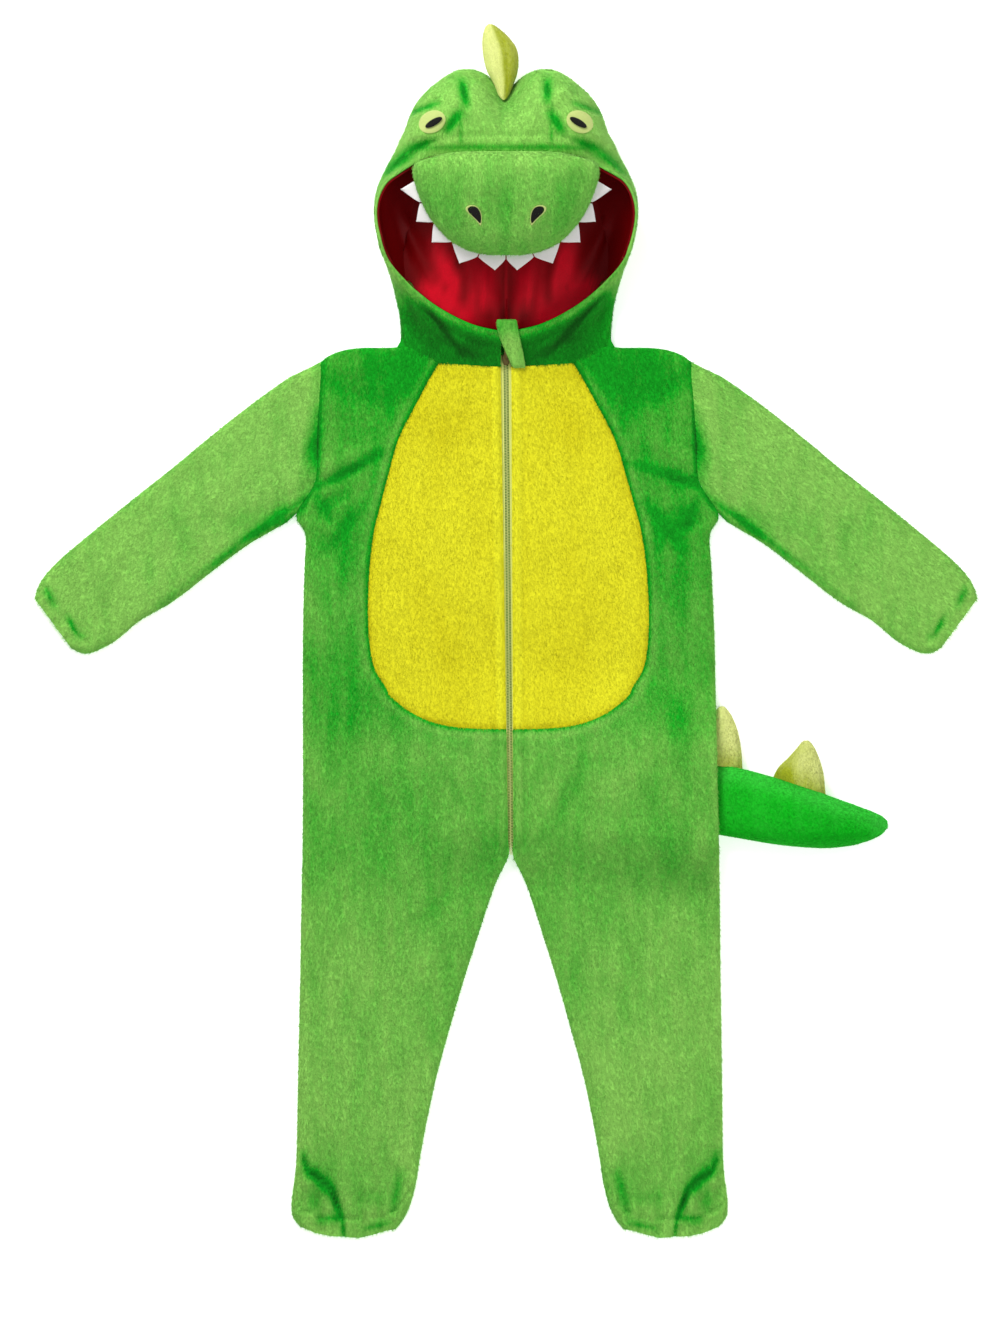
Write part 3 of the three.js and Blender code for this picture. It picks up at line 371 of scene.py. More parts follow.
# ---- meshes -----------------------------------------------------------------------------------
def make_object(name: str, points: Array, faces: Array, fields: Optional[dict[str, Array]] = None,
                sharp: float = 38.0) -> bpy.types.Object:
    """Makes a smooth mesh object from points in millimetres and faces of three or four corners.

    Args:
        name: the piece's name.
        points: corners, one row each.
        faces: corner numbers, one row for each face.
        fields: point attributes by name, as numbers or vectors.
        sharp: edges bent more than this many degrees stay sharp.

    Returns:
        The object, at the origin, unturned and unscaled.
    """
    mesh = bpy.data.meshes.new(f"{name}_look")
    corners = faces.shape[1]
    mesh.vertices.add(len(points))
    mesh.vertices.foreach_set("co", (np.asarray(points, np.float32) * MM).ravel())
    mesh.loops.add(faces.size)
    mesh.loops.foreach_set("vertex_index", faces.astype(np.int32).ravel())
    mesh.polygons.add(len(faces))
    mesh.polygons.foreach_set("loop_start", np.arange(0, faces.size, corners, dtype=np.int32))
    mesh.polygons.foreach_set("loop_total", np.full(len(faces), corners, np.int32))
    mesh.polygons.foreach_set("use_smooth", np.ones(len(faces), bool))
    for key, values in (fields or {}).items():
        if values.ndim == 1:
            mesh.attributes.new(key, "FLOAT", "POINT").data.foreach_set("value", values.astype(np.float32))
        else:
            vectors = mesh.attributes.new(key, "FLOAT_VECTOR", "POINT")
            vectors.data.foreach_set("vector", values.astype(np.float32).ravel())
    mesh.update(calc_edges=True)
    mesh.validate()
    if sharp < 180:
        mesh.set_sharp_from_angle(angle=math.radians(sharp))
    obj = bpy.data.objects.new(f"{name}_look", mesh)
    bpy.context.scene.collection.objects.link(obj)
    return obj


def outward(points: Array, faces: Array) -> Array:
    """Faces turned so that the closed shape's signed volume, the sum of a . (b x c), is positive."""
    a, b, c = (points[faces[:, k]] for k in range(3))
    volume = np.einsum("ij,ij->i", a, np.cross(b, c)).sum()
    if faces.shape[1] == 4:
        d = points[faces[:, 3]]
        volume += np.einsum("ij,ij->i", a, np.cross(c, d)).sum()
    return faces if volume > 0 else faces[:, ::-1]


def wall(name: str, outer: Array, inner: Array, fields: Optional[dict[str, Array]] = None,
         keep: Optional[Array] = None, ring: bool = False, sharp: float = 38.0) -> bpy.types.Object:
    """A closed wall between two grids of points.

    Args:
        name: the piece's name.
        outer: grid of shape (rows, columns, 3).
        inner: the same grid on the wall's other face.
        fields: point attributes as grids of the same size; both faces take them.
        keep: which cells belong to the wall; all of them when left out.
        ring: whether the columns close on themselves.
        sharp: as for make_object.

    Returns:
        The wall's object.
    """
    rows, columns = outer.shape[:2]
    cells = columns if ring else columns - 1
    keep = np.ones((rows - 1, cells), bool) if keep is None else keep
    number = np.arange(rows * columns).reshape(rows, columns)
    after = np.roll(number, -1, axis=1)[:, :cells] if ring else number[:, 1:]
    here = number[:, :cells]
    a, b, c, d = here[:-1], after[:-1], after[1:], here[1:]
    shift = rows * columns
    quads = [np.stack([a, b, c, d], -1)[keep], (np.stack([a, d, c, b], -1) + shift)[keep]]
    pad = np.pad(keep, ((1, 1), (0, 0) if ring else (1, 1)))
    middle = pad[1:-1] if ring else pad[1:-1, 1:-1]
    sides = (
        (pad[:-2] if ring else pad[:-2, 1:-1], a, b),
        (pad[2:] if ring else pad[2:, 1:-1], c, d),
        (np.roll(middle, 1, axis=1) if ring else pad[1:-1, :-2], d, a),
        (np.roll(middle, -1, axis=1) if ring else pad[1:-1, 2:], b, c),
    )
    for neighbour, start, end in sides:
        edge = keep & ~neighbour
        quads.append(np.stack([end, start, start + shift, end + shift], -1)[edge])
    faces = np.concatenate(quads)
    points = np.concatenate([outer.reshape(-1, 3), inner.reshape(-1, 3)])
    used, faces = np.unique(faces, return_inverse=True)
    faces = faces.reshape(-1, 4)
    points = points[used]
    kept = {}
    for key, grid in (fields or {}).items():
        flat = grid.reshape(rows * columns, -1)
        kept[key] = np.squeeze(np.concatenate([flat, flat])[used])
    return make_object(name, points, outward(points, faces), kept, sharp)


def grid_normals(grid: Array) -> Array:
    """Unit normals of a grid surface: the cross product of its two directions of travel."""
    return unit(np.cross(np.gradient(grid, axis=0), np.gradient(grid, axis=1)))


def up_normals(grid: Array) -> Array:
    """Unit normals of a grid surface, turned to face up."""
    normals = grid_normals(grid)
    return normals * np.where(normals[..., 2:] < 0, -1.0, 1.0)


def trimmed(grid: Array, row: Optional[int] = None, column: Optional[int] = None, gap: float = JOIN) -> Array:
    """A copy of a grid with one end row or column moved in by a seam's gap."""
    grid = grid.copy()
    if row is not None:
        inner = grid[row - 1 if row else 1]
        grid[row] += unit(inner - grid[row]) * gap
    if column is not None:
        inner = grid[:, column - 1 if column else 1]
        grid[:, column] += unit(inner - grid[:, column]) * gap
    return grid


# ---- finishes ---------------------------------------------------------------------------------
def rgb(red: int, green: int, blue: int) -> tuple[float, float, float, float]:
    """A display colour from 0 to 255 as linear light: ((c + 0.055) / 1.055)^2.4 above the toe."""
    def channel(value: int) -> float:
        c = value / 255
        return c / 12.92 if c <= 0.04045 else ((c + 0.055) / 1.055) ** 2.4
    return channel(red), channel(green), channel(blue), 1.0


class Nodes:
    """A small builder for a node tree."""

    def __init__(self, tree: bpy.types.NodeTree) -> None:
        self.tree = tree
        tree.nodes.clear()

    def add(self, kind: str, **settings: object) -> bpy.types.Node:
        """Adds a node of a kind and sets its properties."""
        node = self.tree.nodes.new(kind)
        for key, value in settings.items():
            setattr(node, key, value)
        return node

    def link(self, source: bpy.types.NodeSocket, target: bpy.types.NodeSocket) -> None:
        """Joins two sockets."""
        self.tree.links.new(source, target)

    def put(self, target: bpy.types.NodeSocket, value: object) -> None:
        """Feeds a socket with another socket or with a value."""
        if isinstance(value, bpy.types.NodeSocket):
            self.link(value, target)
        else:
            target.default_value = value

    def math(self, operation: str, a: object, b: object = 0.0, clamp: bool = False) -> bpy.types.NodeSocket:
        """One sum of two numbers."""
        node = self.add("ShaderNodeMath", operation=operation, use_clamp=clamp)
        self.put(node.inputs[0], a)
        self.put(node.inputs[1], b)
        return node.outputs[0]

    def mix(self, factor: object, a: object, b: object, blend: str = "MIX") -> bpy.types.NodeSocket:
        """A blend of two colours."""
        node = self.add("ShaderNodeMix", data_type="RGBA", blend_type=blend)
        self.put(node.inputs[0], factor)
        self.put(node.inputs[6], a)
        self.put(node.inputs[7], b)
        return node.outputs[2]

    def noise(self, coordinates: bpy.types.NodeSocket, scale: object, detail: float = 2.0,
              stretch: Sequence[float] = (1, 1, 1), turn: float = 0.0) -> bpy.types.NodeSocket:
        """A noise pattern, stretched and turned by a Mapping node."""
        mapping = self.add("ShaderNodeMapping")
        mapping.inputs["Scale"].default_value = tuple(stretch)
        mapping.inputs["Rotation"].default_value = (0.0, 0.0, turn)
        self.link(coordinates, mapping.inputs["Vector"])
        node = self.add("ShaderNodeTexNoise")
        self.link(mapping.outputs[0], node.inputs["Vector"])
        self.put(node.inputs["Scale"], scale)
        node.inputs["Detail"].default_value = detail
        return node.outputs[0]


def new_group(name: str, inputs: Sequence[tuple[str, str, object]],
              outputs: Sequence[tuple[str, str]]) -> tuple[bpy.types.NodeTree, Nodes]:
    """Starts a node group with named sockets.

    Args:
        name: the group's name.
        inputs: name, socket type and default value of each input.
        outputs: name and socket type of each output.

    Returns:
        The group and a builder for its nodes.
    """
    tree = bpy.data.node_groups.new(name, "ShaderNodeTree")
    nodes = Nodes(tree)
    for label, kind, value in inputs:
        socket = tree.interface.new_socket(name=label, in_out="INPUT", socket_type=kind)
        socket.default_value = value
    for label, kind in outputs:
        tree.interface.new_socket(name=label, in_out="OUTPUT", socket_type=kind)
    return tree, nodes


COLOUR, NUMBER, VECTOR = "NodeSocketColor", "NodeSocketFloat", "NodeSocketVector"


class Effects:
    """The node groups that more than one material uses, each built once."""

    def __init__(self) -> None:
        self.pile = self._pile()
        self.weave = self._weave()
        self.specks = self._specks()

    @staticmethod
    def _pile() -> bpy.types.NodeTree:
        """Brushed pile: deep and light colours in soft patches, streaks along the nap and fine tufts, with
        painted shade: fibres darker at their roots and the colour darkened further in deep crease lines.
        """
        tree, n = new_group(
            "Brushed pile",
            [("Coordinates", VECTOR, (0, 0, 0)), ("Light", COLOUR, (1, 1, 1, 1)),
              ("Deep", COLOUR, (0, 0, 0, 1)),
             ("Nap", NUMBER, 0.0), ("Patchiness", NUMBER, 1.0), ("Tip", NUMBER, 0.5)],
            [("Color", COLOUR), ("Height", NUMBER)])
        source = n.add("NodeGroupInput").outputs
        place = source["Coordinates"]
        patches = n.noise(place, 13.0, 2.0, (1.0, 0.5, 1.0))
        streaks = n.noise(place, 75.0, 3.0, (1.0, 0.22, 1.0))
        tufts = n.noise(place, 520.0, 3.0, (1.0, 0.5, 1.0))
        fine = n.noise(place, 1500.0, 2.0, (1.0, 0.45, 1.0))
        spread = n.math("ADD", n.math("MULTIPLY", n.math("SUBTRACT", patches, 0.5), 0.5),
                        n.math("MULTIPLY", n.math("SUBTRACT", streaks, 0.5), 0.75))
        share = n.math("ADD", n.math("MULTIPLY", spread, source["Patchiness"]),
                       n.math("ADD", 0.60, n.math("MULTIPLY", source["Nap"], 0.52)))
        share = n.math("ADD", share, n.math("MULTIPLY", n.math("SUBTRACT", tufts, 0.5), 0.5), clamp=True)
        colour = n.mix(share, source["Deep"], source["Light"])
        # Painted shade in deep creases: below -1.05 the colour darkens, to no less than 0.28 of itself.
        below = n.math("ADD", n.math("MULTIPLY", n.math("ADD", source["Nap"], 1.05), 0.42), 1.0, clamp=True)
        # Painted shade along each fibre: darker at its root, lighter at its tip.
        shade = n.math("ADD", n.math("MULTIPLY", n.math("SUBTRACT", fine, 0.5), 0.45),
                       n.math("ADD", 0.86, n.math("MULTIPLY", source["Tip"], 0.34)))
        shade = n.math("MULTIPLY", shade, n.math("MAXIMUM", below, 0.28))
        grey = n.add("ShaderNodeCombineColor")
        for socket in grey.inputs:
            n.link(shade, socket)
        out = n.add("NodeGroupOutput")
        n.link(n.mix(1.0, colour, grey.outputs[0], "MULTIPLY"), out.inputs["Color"])
        n.link(n.math("ADD", tufts, n.math("MULTIPLY", fine, 0.6)), out.inputs["Height"])
        return tree

    @staticmethod
    def _weave() -> bpy.types.NodeTree:
        """Plain weave: two crossed rows of threads, as a mask and a height."""
        tree, n = new_group("Plain weave", [("Coordinates", VECTOR, (0, 0, 0)), ("Threads", NUMBER, 1400.0)],
                            [("Mask", NUMBER), ("Height", NUMBER)])
        source = n.add("NodeGroupInput").outputs
        apart = n.add("ShaderNodeSeparateXYZ")
        n.link(source["Coordinates"], apart.inputs[0])
        warp = n.math("SINE", n.math("MULTIPLY", apart.outputs[0], source["Threads"]))
        weft = n.math("SINE", n.math("MULTIPLY", apart.outputs[1], source["Threads"]))
        both = n.math("MULTIPLY", warp, weft)
        out = n.add("NodeGroupOutput")
        n.link(n.math("ADD", n.math("MULTIPLY", both, 0.5), 0.5), out.inputs["Mask"])
        n.link(both, out.inputs["Height"])
        return tree

    @staticmethod
    def _specks() -> bpy.types.NodeTree:
        """Fine uneven fuzz over one colour, as on felt, satin or metal."""
        tree, n = new_group(
            "Fine unevenness",
            [("Coordinates", VECTOR, (0, 0, 0)), ("Base", COLOUR, (1, 1, 1, 1)),
              ("Shadow", COLOUR, (0, 0, 0, 1)),
             ("Scale", NUMBER, 700.0), ("Amount", NUMBER, 0.5)],
            [("Color", COLOUR), ("Height", NUMBER)])
        source = n.add("NodeGroupInput").outputs
        coarse = n.noise(source["Coordinates"], 60.0, 2.0)
        fine = n.noise(source["Coordinates"], source["Scale"], 3.0)
        share = n.math("MULTIPLY",
                       n.math("ADD", n.math("MULTIPLY", coarse, 0.6), n.math("MULTIPLY", fine, 0.6)),
                       source["Amount"], clamp=True)
        out = n.add("NodeGroupOutput")
        n.link(n.mix(share, source["Base"], source["Shadow"]), out.inputs["Color"])
        n.link(fine, out.inputs["Height"])
        return tree


class Finish:
    """Shared start and end of a material."""

    name: str

    def start(self) -> tuple[bpy.types.Material, Nodes, bpy.types.Node, bpy.types.NodeSocket]:
        """A new material with its shader and its Object coordinates."""
        material = bpy.data.materials.new(self.name)
        material.use_nodes = True
        nodes = Nodes(material.node_tree)
        shader = nodes.add("ShaderNodeBsdfPrincipled")
        output = nodes.add("ShaderNodeOutputMaterial")
        nodes.link(shader.outputs[0], output.inputs[0])
        place = nodes.add("ShaderNodeTexCoord").outputs["Object"]
        return material, nodes, shader, place

    @staticmethod
    def bump(nodes: Nodes, shader: bpy.types.Node, height: bpy.types.NodeSocket, strength: float,
             depth: float, normal: Optional[bpy.types.NodeSocket] = None) -> None:
        """Feeds the shader's Normal with a Bump node."""
        bump = nodes.add("ShaderNodeBump")
        bump.inputs["Strength"].default_value = strength
        bump.inputs["Distance"].default_value = depth
        nodes.link(height, bump.inputs["Height"])
        if normal is not None:
            nodes.link(normal, bump.inputs["Normal"])
        nodes.link(bump.outputs[0], shader.inputs["Normal"])


@dataclass(frozen=True)
class PlushFinish(Finish):
    """Short brushed plush: the cloth under the pile, or the pile's own fibres."""

    name: str
    light: tuple[float, float, float, float]
    deep: tuple[float, float, float, float]
    sheen: tuple[float, float, float, float]
    patchiness: float = 1.0
    fibres: bool = False

    def build(self, effects: Effects) -> bpy.types.Material:
        """Makes the material."""
        material, nodes, shader, place = self.start()
        group = nodes.add("ShaderNodeGroup", node_tree=effects.pile)
        nodes.link(place, group.inputs["Coordinates"])
        group.inputs["Light"].default_value = self.light
        group.inputs["Deep"].default_value = self.deep
        group.inputs["Patchiness"].default_value = self.patchiness
        # The nap attribute holds the pile's own lighter and darker tone together with painted light and
        # shade.
        tone_and_shade_value = nodes.add("ShaderNodeAttribute", attribute_name="nap")
        nodes.link(tone_and_shade_value.outputs["Fac"], group.inputs["Nap"])
        nodes.link(group.outputs["Color"], shader.inputs["Base Color"])
        if self.fibres:
            tip = nodes.add("ShaderNodeAttribute", attribute_name="tip")
            nodes.link(tip.outputs["Fac"], group.inputs["Tip"])
            lean = nodes.add("ShaderNodeAttribute", attribute_name="lie")
            nodes.link(lean.outputs["Vector"], shader.inputs["Normal"])
        else:
            # The cloth under the pile takes the painted shade of the fibres' roots.
            group.inputs["Tip"].default_value = 0.25
            self.bump(nodes, shader, group.outputs["Height"], 0.55, 0.0012)
        shader.inputs["Roughness"].default_value = 0.9
        shader.inputs["Specular IOR Level"].default_value = 0.15
        shader.inputs["Sheen Weight"].default_value = 0.25
        shader.inputs["Sheen Roughness"].default_value = 0.5
        shader.inputs["Sheen Tint"].default_value = self.sheen
        return material


@dataclass(frozen=True)
class SatinFinish(Finish):
    """Thin woven satin with a soft gloss."""

    name: str
    base: tuple[float, float, float, float]
    shadow: tuple[float, float, float, float]
    roughness: float = 0.42

    def build(self, effects: Effects) -> bpy.types.Material:
        """Makes the material."""
        material, nodes, shader, place = self.start()
        group = nodes.add("ShaderNodeGroup", node_tree=effects.specks)
        nodes.link(place, group.inputs["Coordinates"])
        # Painted light and shade: the nap attribute blends from the painted shadow colour at 0 to the lit
        # base at 1, with the fine specks darker still in the shade.
        depth = nodes.add("ShaderNodeAttribute", attribute_name="nap")
        deep = tuple(channel * 0.5 for channel in self.shadow[:3]) + (1.0,)
        nodes.link(nodes.mix(depth.outputs["Fac"], self.shadow, self.base), group.inputs["Base"])
        nodes.link(nodes.mix(depth.outputs["Fac"], deep, self.shadow), group.inputs["Shadow"])
        group.inputs["Amount"].default_value = 0.5
        nodes.link(group.outputs["Color"], shader.inputs["Base Color"])
        weave = nodes.add("ShaderNodeGroup", node_tree=effects.weave)
        nodes.link(place, weave.inputs["Coordinates"])
        weave.inputs["Threads"].default_value = 9000.0
        self.bump(nodes, shader, weave.outputs["Height"], 0.12, 0.0002)
        shader.inputs["Roughness"].default_value = self.roughness
        shader.inputs["Specular IOR Level"].default_value = 0.10
        return material


@dataclass(frozen=True)
class FeltFinish(Finish):
    """Pressed felt or a plain solid with fine unevenness."""

    name: str
    base: tuple[float, float, float, float]
    shadow: tuple[float, float, float, float]
    amount: float = 0.5
    roughness: float = 0.95
    metallic: float = 0.0
    bumpiness: float = 0.4
    scale: float = 900.0
    glow: float = 0.0

    def build(self, effects: Effects) -> bpy.types.Material:
        """Makes the material."""
        material, nodes, shader, place = self.start()
        group = nodes.add("ShaderNodeGroup", node_tree=effects.specks)
        nodes.link(place, group.inputs["Coordinates"])
        group.inputs["Base"].default_value = self.base
        group.inputs["Shadow"].default_value = self.shadow
        group.inputs["Amount"].default_value = self.amount
        group.inputs["Scale"].default_value = self.scale
        nodes.link(group.outputs["Color"], shader.inputs["Base Color"])
        self.bump(nodes, shader, group.outputs["Height"], self.bumpiness, 0.0006)
        shader.inputs["Roughness"].default_value = self.roughness
        shader.inputs["Metallic"].default_value = self.metallic
        shader.inputs["Specular IOR Level"].default_value = 0.3
        shader.inputs["Emission Strength"].default_value = self.glow
        shader.inputs["Emission Color"].default_value = self.base
        return material


@dataclass(frozen=True)
class TapeFinish(Finish):
    """The zip's woven tape."""

    name: str
    base: tuple[float, float, float, float]
    dark: tuple[float, float, float, float]

    def build(self, effects: Effects) -> bpy.types.Material:
        """Makes the material."""
        material, nodes, shader, place = self.start()
        weave = nodes.add("ShaderNodeGroup", node_tree=effects.weave)
        nodes.link(place, weave.inputs["Coordinates"])
        weave.inputs["Threads"].default_value = 5200.0
        nodes.link(nodes.mix(weave.outputs["Mask"], self.dark, self.base), shader.inputs["Base Color"])
        self.bump(nodes, shader, weave.outputs["Height"], 0.5, 0.0003)
        shader.inputs["Roughness"].default_value = 0.85
        shader.inputs["Sheen Weight"].default_value = 0.2
        return material


GREEN_LIGHT, GREEN_DEEP, GREEN_SHEEN = rgb(144, 212, 92), rgb(4, 172, 28), rgb(190, 240, 150)
YELLOW_LIGHT, YELLOW_DEEP, YELLOW_SHEEN = rgb(232, 230, 36), rgb(204, 194, 2), rgb(255, 250, 160)
PALE_LIGHT, PALE_DEEP = rgb(220, 228, 138), rgb(158, 170, 30)
TAIL_LIGHT, TAIL_DEEP, TAIL_SHEEN = rgb(58, 206, 62), rgb(0, 182, 20), rgb(70, 200, 60)
FINISHES: dict[str, Finish] = {
    "green": PlushFinish("green plush", GREEN_LIGHT, GREEN_DEEP, GREEN_SHEEN),
    "green_fibre": PlushFinish("green pile", GREEN_LIGHT, GREEN_DEEP, GREEN_SHEEN, fibres=True),
    "tail_green": PlushFinish("tail plush", TAIL_LIGHT, TAIL_DEEP, TAIL_SHEEN, 0.7),
    "tail_fibre": PlushFinish("tail pile", TAIL_LIGHT, TAIL_DEEP, TAIL_SHEEN, 0.7, True),
    "yellow": PlushFinish("yellow plush", YELLOW_LIGHT, YELLOW_DEEP, YELLOW_SHEEN, 0.6),
    "yellow_fibre": PlushFinish("yellow pile", YELLOW_LIGHT, YELLOW_DEEP, YELLOW_SHEEN, 0.6, True),
    "pale": PlushFinish("pale plush", PALE_LIGHT, PALE_DEEP, YELLOW_SHEEN, 0.6),
    "pale_fibre": PlushFinish("pale pile", PALE_LIGHT, PALE_DEEP, YELLOW_SHEEN, 0.6, True),
    "satin": SatinFinish("red satin", rgb(242, 8, 40), rgb(120, 0, 4), 0.5),
    "white": FeltFinish("white felt", rgb(232, 228, 228), rgb(196, 192, 192)),
    "cream": FeltFinish("cream felt", rgb(184, 198, 120), rgb(150, 168, 86)),
    "black": FeltFinish("black felt", rgb(16, 14, 10), rgb(2, 6, 2)),
    "tape": TapeFinish("zip tape", rgb(228, 236, 140), rgb(192, 202, 98)),
    "coil": FeltFinish("zip coil", rgb(230, 240, 150), rgb(188, 198, 106), 0.5, 0.45, 0.0, 0.1),
    "metal": FeltFinish("dark plated metal", rgb(120, 104, 62), rgb(60, 54, 30), 0.6, 0.38, 0.9, 0.1),
    "floor": FeltFinish("pale floor", rgb(252, 252, 252), rgb(246, 246, 246), 0.3, 0.9, 0.0, 0.0, glow=0.45),
}
MATERIALS: dict[str, bpy.types.Material] = {}


class Cloth(Enum):
    """What a piece is: sheet, padded or plain."""

    SHEET = "sheet"
    PADDED = "padded"
    PLAIN = "plain"


def dress(obj: bpy.types.Object, finish: str, nodes: Sequence[str] = (),
          cloth: Cloth = Cloth.PLAIN) -> bpy.types.Object:
    """Gives a piece its material and its body, and hides the frame nodes that it stands for.

    Args:
        obj: the piece.
        finish: a key of FINISHES.
        nodes: frame nodes that the piece replaces.
        cloth: not used.

    Returns:
        The same piece.
    """
    obj.data.materials.append(MATERIALS[finish])
    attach(obj, ROOT)
    if nodes:
        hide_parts(*nodes)
    LOG.info("%s: %d faces", obj.name, len(obj.data.polygons))
    return obj


# ---- pile -------------------------------------------------------------------------------------
@dataclass
class Pile:
    """Short fibres standing out of a surface and lying along its nap, one thin triangle each."""

    length: float = 3.4
    stand: float = 0.42  # share of the length that rises from the surface
    width: float = 0.55
    seed: int = 5
    made: list[bpy.types.Object] = field(default_factory=list)

    def grow(self, name: str, surface: Array, normals: Array, naps: Array, lay: Callable[[Array], Array],
             per_cm2: float, finish: str, slot: str, mask: Optional[Array] = None,
             scale: float = 1.0) -> bpy.types.Object:
        """Covers a grid surface with fibres.

        Args:
            name: the piece's name.
            surface: grid of points.
            normals: unit normals of the grid.
            naps: how light the pile is made at each point: its own tone with painted light and shade.
            lay: gives the direction of the nap at points.
            per_cm2: fibres for each square centimetre.
            finish: a key of FINISHES.
            slot: not used.
            mask: which cells carry pile; all of them when left out.
            scale: length and width beside the plush's own.

        Returns:
            The fibres as one object. A fibre's foot is a bilinear blend of its cell's corners, and its
            tip is foot + length (stand n + (1 - stand) d) for the normal n and the nap d.
        """
        rng = np.random.default_rng(self.seed + len(self.made))
        a, b, c, d = surface[:-1, :-1], surface[:-1, 1:], surface[1:, 1:], surface[1:, :-1]
        areas = np.linalg.norm(np.cross(c - a, d - b), axis=-1) / 2
        if mask is not None:
            areas = areas * mask
        count = int(areas.sum() / 100 * per_cm2)
        cell = rng.choice(areas.size, size=count, p=(areas / areas.sum()).ravel())
        i, j = np.unravel_index(cell, areas.shape)
        u, v = rng.random((2, count, 1))

        def blend(grid: Array) -> Array:
            """Bilinear blend of a grid at the chosen places."""
            return lerp(lerp(grid[i, j], grid[i, j + 1], u), lerp(grid[i + 1, j], grid[i + 1, j + 1], u), v)

        foot = blend(surface)
        normal = unit(blend(normals))
        light = blend(naps[..., None])[:, 0] + rng.normal(0, 0.10, count)
        along = lay(foot) + rng.normal(0, 0.42, (count, 3))
        along = unit(along - normal * np.einsum("ij,ij->i", along, normal)[:, None])
        across = np.cross(normal, along)
        length = self.length * scale * rng.uniform(0.65, 1.1, (count, 1))
        rise = self.stand * rng.uniform(0.6, 1.25, (count, 1))
        tip = foot + length * (normal * rise + along * np.sqrt(np.clip(1 - rise**2, 0.05, 1)))
        half = across * self.width * scale / 2 * rng.uniform(0.7, 1.2, (count, 1))
        points = np.stack([foot - half, foot + half, tip], axis=1)
        faces = np.arange(3 * count).reshape(count, 3)
        facing = np.einsum("ij,ij->i", np.cross(points[:, 1] - points[:, 0], tip - points[:, 0]), normal)
        faces[facing < 0] = faces[facing < 0][:, ::-1]
        shade = unit(normal + along * 0.25 + rng.normal(0, 0.16, (count, 3)))
        fields = {
            "nap": np.repeat(light, 3),
            "tip": np.tile([0.0, 0.0, 1.0], count),
            "lie": np.repeat(shade, 3, axis=0),
        }
        obj = make_object(name, points.reshape(-1, 3), faces, fields, 180.0)
        self.made.append(obj)
        return dress(obj, finish)


def toward(x: float, y: float, z: float = 0.0) -> Callable[[Array], Array]:
    """A nap that runs the same way everywhere."""
    direction = unit(np.array([x, y, z], float))
    return lambda points: np.broadcast_to(direction, points.shape)


